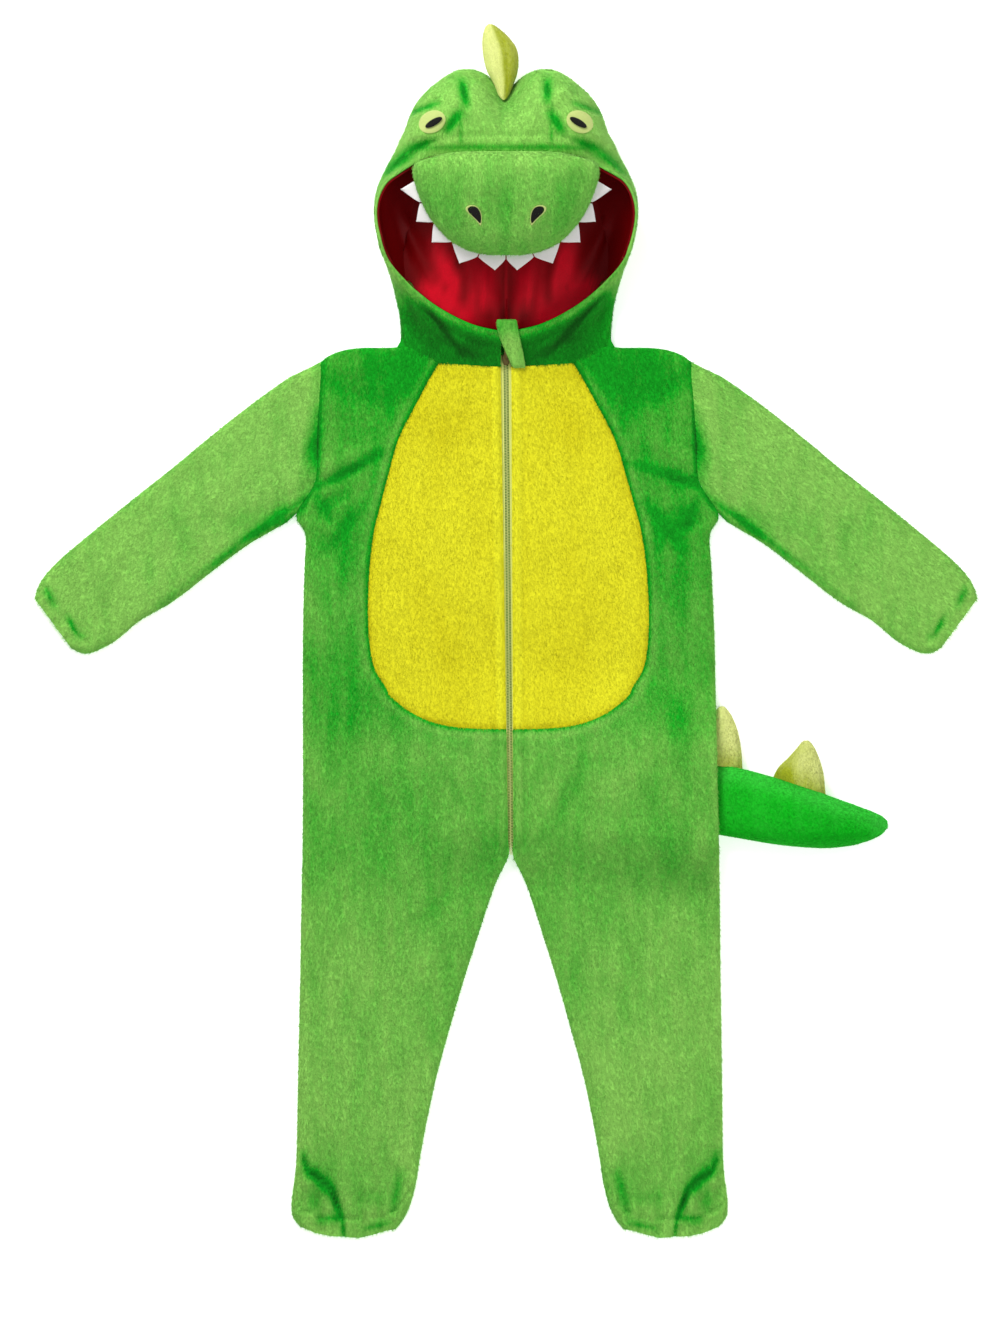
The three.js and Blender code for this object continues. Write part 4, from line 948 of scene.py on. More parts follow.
# ---- body -------------------------------------------------------------------------------------
@dataclass
class Body:
    """Two fronts with a set-in tummy, and two backs, from the shoulders to the ankles."""

    pile: Pile
    step: float = 4.5  # spacing of the grid
    turns: int = 7  # stations round a rounded edge
    casing: float = 17.0  # height of the elastic's casing at the ankle

    def _columns(self) -> tuple[Array, Array, Array]:
        """Share between zip and mid (0 to 1) and mid and side (1 to 2), and the turns of both edges."""
        quarter = np.linspace(0, np.pi / 2, self.turns)
        near = np.linspace(0, 1, 27)[1:]
        far = np.linspace(1, 2, 19)[1:-1]
        share = np.concatenate([np.zeros(self.turns), near, far, np.full(self.turns, 2.0)])
        plain = np.full(len(near) + len(far), np.pi / 2)
        turn_in = np.concatenate([quarter, plain, np.full(self.turns, np.pi / 2)])
        turn_out = np.concatenate([np.full(self.turns, np.pi / 2), plain, quarter[::-1]])
        return share, turn_in, turn_out

    @property
    def mid_column(self) -> int:
        """The grid column on the tummy's edge."""
        return self.turns - 1 + 26

    def _rows(self) -> Array:
        """Fractional rows of BODY for the fine grid."""
        return even_steps(BODY.col("mid_y"), self.step, keep=(TUMMY_LAST,))[1:]

    def armhole(self) -> tuple[Array, Array]:
        """Heights, rising, and distances of the body's edge from the shoulder to the armpit."""
        edge = self.grid(Side.RIGHT, Layer.FRONT, PILE, PILE)["points"][:, -1]
        y, x = edge[:, 1], edge[:, 0] - axis_x(edge[:, 1])
        shown = (y > 108) & (y < 258)
        return y[shown][::-1], x[shown][::-1]

    @property
    def tummy_row(self) -> int:
        """The grid row on the tummy's lower edge."""
        return self.turns + int(np.argmin(np.abs(self._rows() - TUMMY_LAST)))

    def grid(self, side: Side, layer: Layer, inset: float, inset_z: float) -> dict[str, Array]:
        """A panel's surface.

        A row of BODY gives the distances inner, mid and side; a column lies between them by its share,
        or on an edge at edge + inset + (ROLL - inset)(1 - cos turn) with its height falling as sin turn.

        Args:
            side: left or right.
            layer: front or back.
            inset: how far the surface lies inside the panel's outline.
            inset_z: how far it lies inside the panel's upper or lower face.

        Returns:
            Grids called points, plan_x, plan_y and height.
        """
        share, turn_in, turn_out = self._columns()
        zip_y, inner, mid_y, mid, side_y, out = BODY.array().T[:, :, None]
        inner_round = smooth((-200 - zip_y) / 55)
        side_round = smooth((KINK_Y - 12 - side_y) / 34)
        if layer is Layer.BACK:
            inner = np.where(inner_round > 0, inner, SEAM / 2)

        def along(extra: float) -> Array:
            """Distances from the centre line with an inset at the rounded edges."""
            low, high = extra * inner_round, extra * side_round
            plain = np.where(share <= 1, lerp(inner + ROLL, mid, share), lerp(mid, out - ROLL, share - 1))
            from_in = inner + low + (ROLL - low) * (1 - np.cos(turn_in))
            from_out = out - high - (ROLL - high) * (1 - np.cos(turn_out))
            return np.where(turn_in < np.pi / 2, from_in, np.where(turn_out < np.pi / 2, from_out, plain))

        x, plan = along(inset), along(0.0)
        widening = mid[1] - mid[0]
        neck_shift = np.where(share <= 1, share * widening * 0.4, (2 - share) * widening * 0.4)
        x[0] += neck_shift
        plan[0] += neck_shift
        height = lerp(1, np.sin(turn_in), inner_round) * lerp(1, np.sin(turn_out), side_round)
        to_mid = np.minimum(plan / mid, 1) ** LOWER_ROW_CURVE
        y = lerp(lerp(zip_y, mid_y, to_mid), side_y, smooth((plan - mid) / (out - mid)))
        y -= HEM_DROP.read("x", plan, "drop") * smooth((-545 - y) / 24)
        top = (FRONT_TOP if layer is Layer.FRONT else BACK_TOP).read("x", plan[0], "y")
        y[0] = top - ROLL
        fine = spline(np.stack([x, plan, y, y, height], -1), self._rows())
        turns = np.linspace(0, np.pi / 2, self.turns)[:, None]
        top_round = smooth((plan[0] - NECK_HALF - 2.5) / 14)
        top_inset = inset * top_round
        head_y = top - top_inset - (ROLL - top_inset) * (1 - np.cos(turns))
        head_plan_y = top - ROLL * (1 - np.cos(turns))
        head_height = height[0] * lerp(1, np.sin(turns), top_round)
        back = neck_shift * (head_plan_y - (top - ROLL)) / ROLL
        head = np.stack([x[0] - back, plan[0] - back, head_y, head_plan_y, head_height], -1)
        x, plan, y, plan_y, height = np.moveaxis(np.concatenate([head, fine]), -1, 0)
        height = np.clip(height, 0, 1)
        reach = MID - SEAM / 2 - inset_z
        centre = axis_x(plan_y)
        z = MID + layer.value * (SEAM / 2 + reach * height) + lift(centre + side.value * plan, plan_y)
        points = np.stack([centre + side.value * x, y, z], -1)
        return {"points": points, "plan_x": plan, "plan_y": plan_y, "height": height}

    def _tummy_path(self, grid: dict[str, Array]) -> Array:
        """The tummy's outline in distances from the centre line."""
        row, column = self.tummy_row, self.mid_column
        down = np.stack([grid["plan_x"][: row + 1, column], grid["plan_y"][: row + 1, column]], -1)
        across = np.stack([grid["plan_x"][row, : column + 1], grid["plan_y"][row, : column + 1]], -1)
        return np.concatenate([down, across[::-1]])[::2]

    def _relief(self, grid: dict[str, Array], side: Side) -> Array:
        """Folds, the dips at seams, the raised bands beside the zip and the gathered ankle."""
        x, y = grid["plan_x"], grid["plan_y"]
        rise = folds(FOLDS, side, x, y) + 0.62 * folds(HEM_GATHERS, side, x, y)
        rise -= 1.5 * bell(path_distance(x, y, self._tummy_path(grid)), 3.2)
        armhole = np.array([[176, 262], [182.4, KINK_Y], [201.4, 111]])
        from_arm = path_distance(x, y, armhole)
        rise -= 1.9 * bell(from_arm, 4.0)
        rise += 0.9 * bell(from_arm - 12, 6) * (1 + 0.5 * np.sin(y / 6.5))
        edge = np.interp(-y, -BODY.col("zip_y"), BODY.col("inner"))
        on_zip = smooth((y - CROTCH_Y) / 14)
        rise += on_zip * (1.0 * bell(x - edge - 5.5, 3.6) - 1.1 * bell(x - edge - 11, 2.6))
        rise -= on_zip * 1.6 * bell(x - edge, 1.8)
        rise += on_zip * 0.35 * bell(x - edge - 6, 6) * np.sin(y / 7.5 + side.value)
        rise += 0.45 * wobble(x * side.value, y, 21.0, 0.6) + 0.22 * wobble(x * side.value, y, 9.0, 2.9)
        hem = np.interp(x, [92, 107, 130, 153, 180, 200, 209], [-545, -566, -573, -574.5, -572, -566, -552])
        stitch = hem + self.casing + 1.2 * np.sin(x / 5.0)
        rise += smooth((stitch + 14 - y) / 16) * 1.6
        rise -= 2.3 * bell(y - stitch, 2.2) * smooth((-480 - y) / 20)
        blouse = np.array([[198, -502], [191, -516], [178, -520], [169, -530], [162, -548], [158, -573]])
        from_blouse = path_distance(x, y, blouse)
        rise -= 3.0 * bell(from_blouse, 3.0)
        rise += 2.0 * bell(path_distance(x, y, blouse + [6, -7]), 5.0)
        return rise * grid["height"]

    def _tone_and_shade(self, grid: dict[str, Array], side: Side, rise: Array) -> Array:
        """How light the green pile is made: by height, by soft ovals, along seams, and by painted light and
        shade from the relief and the crease lines.
        """
        x, y = grid["plan_x"], grid["plan_y"]
        light = np.interp(-y, NAP_DOWN.col("down"), NAP_DOWN.col("light")) + ovals(NAP_AND_EDGE_SHEEN, side, x, y)
        light += 0.14 * wobble(x * side.value, y, 40.0, 1.7) + 0.08 * wobble(x * side.value, y, 15.0, 4.2)
        from_tummy = path_distance(x, y, self._tummy_path(grid))
        # A lighter band beside the tummy's seam, and painted shade in the seam itself.
        light += 0.5 * bell(from_tummy - 6, 4) - 0.9 * bell(from_tummy, 2.2)
        return light + painted_relief_light_and_shade(rise) - painted_shade_and_highlight_lines(CREASE_SHADE, side, x, y)

    def _tummy_tone_and_shade(self, grid: dict[str, Array], rise: Array) -> Array:
        """How light the yellow pile is made: lighter bands beside the zip as painted highlights on its raised
        bands, a few darker patches, painted shade in and near the seam round its edge, and painted light and
        shade from the relief.
        """
        x, y = grid["plan_x"], grid["plan_y"]
        edge = np.interp(-y, -BODY.col("zip_y"), BODY.col("inner"))
        light = 0.34 + 0.18 * wobble(x, y, 34.0, 2.6) + 0.9 * bell(x - edge - 5, 3.0)
        light -= (0.7 * bell(np.hypot((x - 58) / 26, (y - 196) / 26), 1)
                  + 0.35 * bell((y - 244) / 7, 1) * (x > edge + 6))
        light -= 0.5 * bell(np.hypot((x - 62) / 34, (y + 20) / 50), 1)
        from_edge = path_distance(x, y, self._tummy_path(grid))
        return light - 0.9 * bell(from_edge, 2.0) - 0.3 * bell(from_edge, 11) + painted_relief_light_and_shade(rise) * 0.6

    def build(self) -> None:
        """Makes the fronts, the tummy halves, the backs and their pile."""
        row, column = self.tummy_row, self.mid_column
        heights = BODY.col("mid_y")
        for side in Side:
            outer = self.grid(side, Layer.FRONT, PILE, PILE)
            inner = self.grid(side, Layer.FRONT, PLUSH, PLUSH)
            rise = self._relief(outer, side)
            outer["points"][..., 2] += rise
            inner["points"][..., 2] += np.maximum(rise, -1.2)
            light = self._tone_and_shade(outer, side, rise)
            keep = np.ones((light.shape[0] - 1, light.shape[1] - 1), bool)
            keep[:row, :column] = False
            area = float(np.trapz(BODY.col("side") - BODY.col("inner"), -heights)) * MM * MM
            name = f"front_{side.label}"
            front = wall(name, outer["points"], inner["points"], {"nap": light}, keep)
            dress(front, "green", [name], Cloth.SHEET)

            face = trimmed(trimmed(outer["points"][: row + 1, : column + 1], row=row), column=column)
            reverse = trimmed(trimmed(inner["points"][: row + 1, : column + 1], row=row), column=column)
            name = f"belly_{side.label}"
            part = self._tummy_tone_and_shade(outer, rise)[: row + 1, : column + 1]
            tummy = wall(name, face, reverse, {"nap": part})
            dress(tummy, "yellow", [name], Cloth.SHEET)

            under = self.grid(side, Layer.BACK, PILE, 0.0)["points"]
            above = self.grid(side, Layer.BACK, PLUSH, PLUSH)["points"]
            name = f"back_{side.label}"
            back = wall(name, under, above, {"nap": light})
            dress(back, "green", [name], Cloth.SHEET)

            down = toward(side.value * 0.12, -1)
            normals = up_normals(outer["points"])
            self.pile.grow(f"pile_front_{side.label}", outer["points"], normals, light, down, 92,
                           "green_fibre", "plush_green", keep)
            face_normals = up_normals(face)
            self.pile.grow(f"pile_belly_{side.label}", face, face_normals, part, down, 80,
                           "yellow_fibre", "plush_yellow", scale=0.75)


# ---- sleeves ----------------------------------------------------------------------------------
@dataclass
class Sleeves:
    """Two sleeves, each a flattened tube open at the armhole and the cuff."""

    pile: Pile
    body_edge: tuple[Array, Array]  # heights and distances of the body's edge along the armhole
    step: float = 4.5
    turns: int = 7
    across: int = 26
    casing: float = 15.0  # width of the elastic's casing at the cuff

    def _ring(self, side: Side, inset: float, k_rows: Array) -> dict[str, Array]:
        """One surface of a sleeve: rows along it and a closed ring of columns round it.

        A section runs from its upper to its lower edge; round an edge the share is
        (inset + (ROLL - inset)(1 - cos turn)) / width and the height falls as sin turn.
        """
        rows = spline(SLEEVE.array(), k_rows)
        top, low = rows[:, None, :2], rows[:, None, 2:]
        width = np.linalg.norm(top - low, axis=-1)
        quarter = np.linspace(0, np.pi / 2, self.turns)

        def shares(extra: float) -> Array:
            """Shares across the section of the upper face's columns."""
            ends = (extra + (ROLL - extra) * (1 - np.cos(quarter))) / width
            inside = lerp(ends[:, -1:], 1 - ends[:, -1:], np.linspace(0, 1, self.across)[1:-1])
            return np.concatenate([ends, inside, 1 - ends[:, ::-1]], axis=1)

        share, plan_share = shares(inset)[..., None], shares(0.0)[..., None]
        height = np.concatenate([np.sin(quarter), np.ones(self.across - 2), np.sin(quarter)[::-1]])
        first = smooth(1 - k_rows)[:, None]

        def place(at: Array) -> Array:
            """Points at shares, along the body's edge in the first section."""
            points = lerp(top, low, at)
            edge = np.interp(points[..., 1], *self.body_edge)
            points[..., 0] = lerp(points[..., 0], edge, first)
            return points

        here, plan = place(share), place(plan_share)
        lean = np.maximum(1 - k_rows / 3, 0)[:, None] * axis_x(here[..., 1])
        x = lean + side.value * (here[..., 0] + JOIN)
        return {"x": x, "y": here[..., 1], "plan_x": plan[..., 0], "plan_y": plan[..., 1],
                "height": np.broadcast_to(height, x.shape)}

    def _relief(self, ring: dict[str, Array], side: Side) -> Array:
        """Folds, the dip at the armhole and the stitched casing of the cuff."""
        x, y = ring["plan_x"], ring["plan_y"]
        rise = folds(FOLDS, side, x, y)
        armhole = np.array([[176, 262], [182.4, KINK_Y], [201.4, 111]])
        distance = path_distance(x, y, armhole)
        rise -= 1.9 * bell(distance, 4.0)
        rise += 1.0 * bell(distance - 13, 7) * (1 + 0.6 * np.sin(y / 7.5 + 1))
        cuff = np.array([[451, 36], [412, -20]]) + [-self.casing * 0.82, self.casing * 0.57]
        from_stitch = path_distance(x, y, cuff)
        rise -= 1.7 * bell(from_stitch, 2.0)
        beyond = smooth((x * 0.82 - y * 0.57 - (432 * 0.82 - 45 * 0.57)) / 8)
        rise += beyond * (0.8 + 0.7 * np.sin((x * 0.57 + y * 0.82) / 3.1))
        rise += 0.5 * wobble(x * side.value, y, 19.0, 3.3) + 0.2 * wobble(x, y, 8.0, 5.1)
        return rise

    def build(self) -> None:
        """Makes both sleeves and their pile."""
        reach = np.hypot(SLEEVE.col("top_x") + SLEEVE.col("low_x"),
                         SLEEVE.col("top_y") + SLEEVE.col("low_y")) / 2
        k_rows = even_steps(np.cumsum(np.abs(np.diff(reach, prepend=reach[0]))), self.step)
        for side in Side:
            outer = self._ring(side, PILE, k_rows)
            inner = self._ring(side, PLUSH, k_rows)
            rise = self._relief(outer, side) * outer["height"]
            up = MID + (MID - PILE) * outer["height"] + rise
            down = MID - MID * outer["height"]
            up_in = MID + (MID - PLUSH) * inner["height"] + np.maximum(rise, -0.8)
            down_in = MID - (MID - PLUSH) * inner["height"]

            def ring(grid: dict[str, Array], high: Array, low: Array) -> Array:
                """Joins the upper and the lower face into a closed ring."""
                upper = np.stack([grid["x"], grid["y"], high], -1)
                lower = np.stack([grid["x"], grid["y"], low], -1)
                return np.concatenate([upper, lower[:, -2:0:-1]], axis=1)

            x, y = outer["plan_x"], outer["plan_y"]
            # The sleeve's pile: its own tone, with the ovals' painted light and shade, and painted light and
            # shade from the relief and the crease lines.
            light = 0.27 + ovals(SLEEVE_NAP_AND_SHADE, side, x, y) + 0.10 * wobble(x * side.value, y, 38.0, 0.7)
            light += painted_relief_light_and_shade(rise) - painted_shade_and_highlight_lines(CREASE_SHADE, side, x, y)
            # Painted sheen where the sleeve rounds over its edges.
            light += 0.35 * bell(1 - outer["height"], 0.35)
            around = np.concatenate([light, light[:, -2:0:-1]], axis=1)
            name = f"sleeve_{side.label}"
            sleeve = wall(name, ring(outer, up, down), ring(inner, up_in, down_in), {"nap": around},
                          ring=True)
            dress(sleeve, "green", [name], Cloth.SHEET)
            top = np.stack([outer["x"], outer["y"], up], -1)
            self.pile.grow(f"pile_sleeve_{side.label}", top, up_normals(top), light,
                           toward(side.value * 0.8, -0.6), 92, "green_fibre", "plush_green")


# ---- hood -------------------------------------------------------------------------------------
HOOD = Table("rim_x rim_y rim_z swell belt_x belt_y belt_z foot_x foot_y foot_z neck_x under", (
    (1.0, 283.0, 25, 0, 4.2, 275, 21.5, 5.0, 263, 16.6, 5.0, 0),
    (34.0, 291.0, 27, 0, 34.0, 281, 23, 34.0, 267, 17, 34.0, 0),
    (67.5, 309.0, 32, 1, 67.0, 296, 26, 65.0, 276, 17, 61.8, 0),
    (97.0, 333.5, 42, 1, 93.0, 314, 31, 86.0, 290, 17, 82.0, 0),
    (118.8, 362.0, 56, 2, 111.0, 340, 36, 102.0, 305, 18, 94.0, 0),
    (126.4, 395.0, 66, 2, 123.0, 378, 40, 105.5, 325, 13, 99.8, 0),
    (120.0, 421.0, 72, 2, 125.0, 410, 44, 101.0, 356, 0, 94.0, 1),
    (102.6, 438.0, 78, 4, 116.5, 436, 46, 93.0, 396, 0, 80.0, 1),
    (78.0, 448.5, 84, 9, 99.0, 468, 46, 82.0, 432, 0, 62.0, 1),
    (62.0, 452.0, 88, 13, 85.0, 500, 45, 71.0, 460, 0, 50.0, 1),
    (51.0, 453.5, 90, 16, 65.0, 522, 44, 56.0, 480, 0, 41.0, 1),
    (42.0, 454.3, 91, 17, 44.0, 533.5, 43, 40.0, 490, 0, 32.0, 1),
    (21.0, 455.0, 92, 17, 22.0, 530.5, 43, 20.0, 493, 0, 16.0, 1),
    (0.0, 455.2, 92, 16, 0.0, 513, 43, 0.0, 486, 0, 0.0, 1)))
GUSSET_SECTION = 11.0

# Folds of the hood seen from above, the painted shade of its crease lines (with the painted shadow line above
# the jaw), the folds of the lining inside it, and the painted highlights and shade on the lining.
HOOD_FOLDS = Table("side from_x from_y to_x to_y width height", (
    (-1, 82, 316, 42, 262, 4.0, -3.0), (-1, 74, 306, 34, 258, 6.5, 2.2), (-1, 98, 330, 84, 276, 5, -2.2),
    (1, 90, 316, 40, 262, 4.0, -3.0), (1, 80, 304, 32, 258, 6.5, 2.2), (1, 100, 332, 88, 278, 5, -2.2),
    (-1, 71, 464, 112, 436, 5.0, -3.6), (-1, 74, 474, 100, 462, 7, 2.6), (1, 67, 464, 106, 434, 5.0, -3.6),
    (1, 72, 474, 104, 458, 7, 2.6), (0, 43, 458, 43, 500, 2.0, -1.6), (-1, 46, 492, 56, 474, 4.5, -3.0),
    (-1, 41, 519, 37, 500, 3.6, -3.0), (1, 47, 488, 42, 500, 4.5, -2.8), (1, 38, 519, 40, 506, 3.6, -3.0),
    (-1, 58, 512, 50, 500, 5, 2.4), (1, 58, 512, 48, 502, 5, 2.4), (0, 20, 470, 22, 500, 9, 1.8),
    (0, 0, 470, 0, 508, 6, -1.6), (-1, 92, 480, 80, 512, 6, -1.4), (1, 90, 478, 82, 508, 6, -1.4),
    (0, 89, 492, 66, 500, 3.2, -2.0), (0, 84, 470, 64, 468, 4.0, 1.8), (-1, 56, 482, 56, 468, 4, -1.4)))
HOOD_CREASE_SHADE = Table("side from_x from_y to_x to_y width dark", (
    (-1, 42, 520, 38, 500, 5.4, 2.5), (-1, 44, 491, 56, 475, 5.8, 2.5), (0, 43, 500, 43, 458, 2.2, 1.5),
    (1, 39, 520, 39, 502, 5.0, 2.4), (1, 42, 491, 53, 475, 5.8, 2.4), (0, -20, 458.5, 84, 458.5, 3.4, 1.9),
    (-1, 68, 466, 93, 457, 5.4, 2.1), (-1, 92, 457, 112, 436, 6.0, 1.7), (1, 66, 466, 88, 457, 5.4, 2.1),
    (1, 87, 457, 108, 434, 6.0, 1.7), (0, 92, 491, 64, 500, 3.0, 2.0), (0, 56, 470, 74, 466, 4.0, 0.7),
    (-1, 84, 320, 40, 262, 3.4, 1.0), (1, 92, 320, 38, 262, 3.4, 1.0), (0, 60, 280, 30, 262, 4.0, 0.7)))
LINING_FOLDS = Table("side from_x from_y to_x to_y width height", (
    (-1, 2, 292, 64, 352, 7, 7), (-1, 2, 290, 26, 346, 6, 7), (1, 0, 290, 26, 344, 6, 7),
    (1, 4, 292, 58, 346, 7, 7), (-1, 12, 296, 46, 352, 3.5, -3), (1, 14, 296, 42, 346, 3.5, -3),
    (0, 1, 296, 3, 350, 4, -3.5), (-1, 70, 338, 100, 392, 6, 5), (1, 66, 334, 98, 388, 6, 5),
    (-1, 92, 352, 108, 400, 4, -2.5), (1, 90, 350, 106, 396, 4, -2.5), (0, 40, 360, 70, 430, 9, 3)))
# Painted highlights on the lining's folds, and painted shade between them.
LINING_HIGHLIGHTS = Table("side from_x from_y to_x to_y width dark", (
    (-1, 66, 364, 51, 332, 8, 0.85), (1, 60, 364, 52, 334, 9, 1.25), (-1, 76, 324, 38, 299, 8, 0.95),
    (1, 78, 326, 38, 299, 9, 1.3), (0, 14, 334, 29, 302, 2.4, 0.60), (-1, 30, 350, 22, 338, 6, 0.3),
    (1, 26, 352, 18, 338, 6, 0.3)))
LINING_SHADE = Table("side from_x from_y to_x to_y width dark", (
    (0, -10, 298, 10, 298, 15, 0.75), (0, 46, 356, 40, 318, 4.5, 0.45), (0, 2, 350, 2, 310, 5, 0.25)))


@dataclass
class Hood:
    """The lined hood: a left side, a centre piece over the crown and a right side."""

    pile: Pile
    sections: int = 96  # from the chin to the centre back
    samples: int = 74  # from the rim to the neck seam
    rim_turn: float = 4.6  # length over which the plush turns in at the rim

    def __post_init__(self) -> None:
        even = np.linspace(0, len(HOOD.rows) - 1, self.sections)
        self.half_rows = np.sort(np.unique(np.concatenate([even, [GUSSET_SECTION]])))
        self.surface = self._surface()
        self.normals = self._normals(self.surface)
        self.along = np.concatenate([np.zeros((len(self.surface), 1)), np.cumsum(
            np.linalg.norm(np.diff(self.surface, axis=1), axis=-1), axis=1)], axis=1)
        self.rise = self._relief()
        self.shaped = self.surface + self.normals * self.rise[..., None]

    def _surface(self) -> Array:
        """The plain outer surface: each section is a centripetal Catmull-Rom curve through five points."""
        rim_x, rim_y, rim_z, swell, belt_x, belt_y, belt_z, foot_x, foot_y, foot_z, neck_x, under = (
            spline(HOOD.array(), self.half_rows).T)
        under, foot_z = np.clip(under, 0, 1), np.maximum(foot_z, 0)
        neck_x = np.clip(neck_x, 0, NECK_HALF)
        rise = MID * rounded(NECK_HALF - neck_x, ROLL)
        neck_y = lerp(FRONT_TOP.read("x", neck_x, "y"), BACK_TOP.read("x", neck_x, "y"), under) + JOIN
        controls = np.stack([
            np.stack([rim_x, rim_y, rim_z], -1),
            np.stack([(rim_x + belt_x) / 2 + swell * 0.3, (rim_y + belt_y) / 2,
                      (rim_z + belt_z) / 2 + swell], -1),
            np.stack([belt_x, belt_y, belt_z], -1),
            np.stack([foot_x, foot_y, foot_z], -1),
            np.stack([neck_x, neck_y, MID + (1 - 2 * under) * rise], -1)], axis=1)
        share = np.linspace(0, 1, self.samples)
        t = 4 * (0.35 * share**2 + 0.65 * share)
        half = self._curves(controls, t)
        half[..., 2] = np.maximum(half[..., 2], 0)
        mirrored = half * [-1, 1, 1]
        return np.concatenate([mirrored, half[-2::-1]])

    @staticmethod
    def _curves(controls: Array, t: Array) -> Array:
        """Centripetal Catmull-Rom curves through the controls of every section at once."""
        first = 2 * controls[:, :1] - controls[:, 1:2]
        last = 2 * controls[:, -1:] - controls[:, -2:-1]
        padded = np.concatenate([first, controls, last], axis=1)
        i = np.clip(np.floor(t).astype(int), 0, controls.shape[1] - 2)
        f = (t - i)[None, :, None]
        a, b, c, d = (padded[:, i + k] for k in range(4))
        step = [np.maximum(np.sqrt(np.linalg.norm(q - p, axis=-1, keepdims=True)), 1e-3)
                for p, q in ((a, b), (b, c), (c, d))]
        start = ((b - a) / step[0] - (c - a) / (step[0] + step[1]) + (c - b) / step[1]) * step[1]
        end = ((c - b) / step[1] - (d - b) / (step[1] + step[2]) + (d - c) / step[2]) * step[1]
        return (b + start * f + (3 * (c - b) - 2 * start - end) * f**2 + (2 * (b - c) + start + end) * f**3)

    @staticmethod
    def _normals(surface: Array) -> Array:
        """Unit normals that point out of the hood."""
        normals = grid_normals(surface)
        crown = normals[len(surface) // 2, surface.shape[1] // 3]
        return normals * (1.0 if crown[1] > 0 else -1.0)

    def _relief(self) -> Array:
        """Brow and eye mounds, folds and puckers of the upper side, and the dip at the gusset's seams."""
        x, y, z = np.moveaxis(self.surface, -1, 0)
        away = np.abs(x)
        upper = smooth((self.normals[..., 2] + 0.15) / 0.3) * smooth((z - 8) / 6)
        rise = 5.5 * bell(np.hypot(away - 70, y - 484), 22) + 3.5 * bell(np.hypot(away - 34, y - 506), 17)
        rise = rise * (z > 30)
        for side in Side:
            here = (x * side.value >= 0) * upper
            rise = rise + folds(HOOD_FOLDS, side, away, y) * here
        rise += upper * (0.5 * wobble(x, y, 15.0, 1.1) + 0.25 * wobble(x, y, 6.5, 2.3))
        from_rim = self.along
        rise += upper * 0.9 * bell(from_rim - 9, 5) - upper * 0.7 * bell(from_rim - 16, 3)
        return rise

    def layer(self, depth: float, turned: float = 0.0) -> Array:
        """The shaped surface moved in by depth, with its rim turned in by up to turned."""
        roll = (1 - rounded(self.along, self.rim_turn)) * turned
        return self.shaped - self.normals * (depth + roll)[..., None]

    def _pieces(self) -> list[tuple[str, int, int]]:
        """Name, first and last section of the three pieces."""
        gusset = int(np.argmin(np.abs(self.half_rows - GUSSET_SECTION)))
        end = len(self.surface) - 1
        return [("side_left", 0, gusset), ("centre", gusset, end - gusset), ("side_right", end - gusset, end)]

    def height_on(self, x: Array, y: Array) -> Array:
        """Height of the shaped upper surface over points in plan, from its nearest grid points."""
        x, y = np.asarray(x, float), np.asarray(y, float)
        grid = self.layer(PILE)
        top = (self.normals[..., 2] > 0.05) & (grid[..., 2] > 12)
        cloud = grid[top]
        flat = np.stack([x.ravel(), y.ravel()], -1)
        out = np.empty(len(flat))
        for start in range(0, len(flat), 400):
            part = flat[start:start + 400]
            d2 = ((part[:, None] - cloud[None, :, :2]) ** 2).sum(-1)
            near = np.argpartition(d2, 5, axis=1)[:, :5]
            weight = 1 / (np.take_along_axis(d2, near, 1) + 0.6)
            out[start:start + 400] = (weight * cloud[near, 2]).sum(1) / weight.sum(1)
        return out.reshape(x.shape)

    def build(self) -> None:
        """Makes the outer pieces, the lining and the pile."""
        outer, inner = self.layer(PILE, 1.3), self.layer(PLUSH, -1.6)
        x, y, z = np.moveaxis(outer, -1, 0)
        # Lighter where the hood rises high over the forehead, as painted light on its top; lighter patches
        # beside and below the eyes, a darker patch by each back corner of the jaw, and painted shade on the
        # hood's sides.
        light = 0.42 + 0.12 * wobble(x, y, 24.0, 0.4) + 0.30 * smooth((z - 66) / 22) * smooth((y - 440) / 20)
        light += 0.30 * bell(np.hypot((np.abs(x) - 96) / 14, (y - 474) / 20), 1)
        light -= 0.35 * bell(np.hypot((np.abs(x) - 112) / 12, (y - 400) / 50), 1)
        light += 0.2 * bell(np.hypot((np.abs(x) - 104) / 8, (y - 460) / 12), 1)
        light -= 0.32 * bell(np.hypot((np.abs(x) - 84) / 13, (y - 446) / 12), 1)
        # Painted shade on the neck below the hood's rim, darkest towards the centre.
        away, below = np.abs(x), smooth((340 - y) / 40)
        light = lerp(light, -2.05 + 0.55 * smooth((away - 66) / 30) + 0.25 * wobble(x, y, 12.0, 0.2), below)
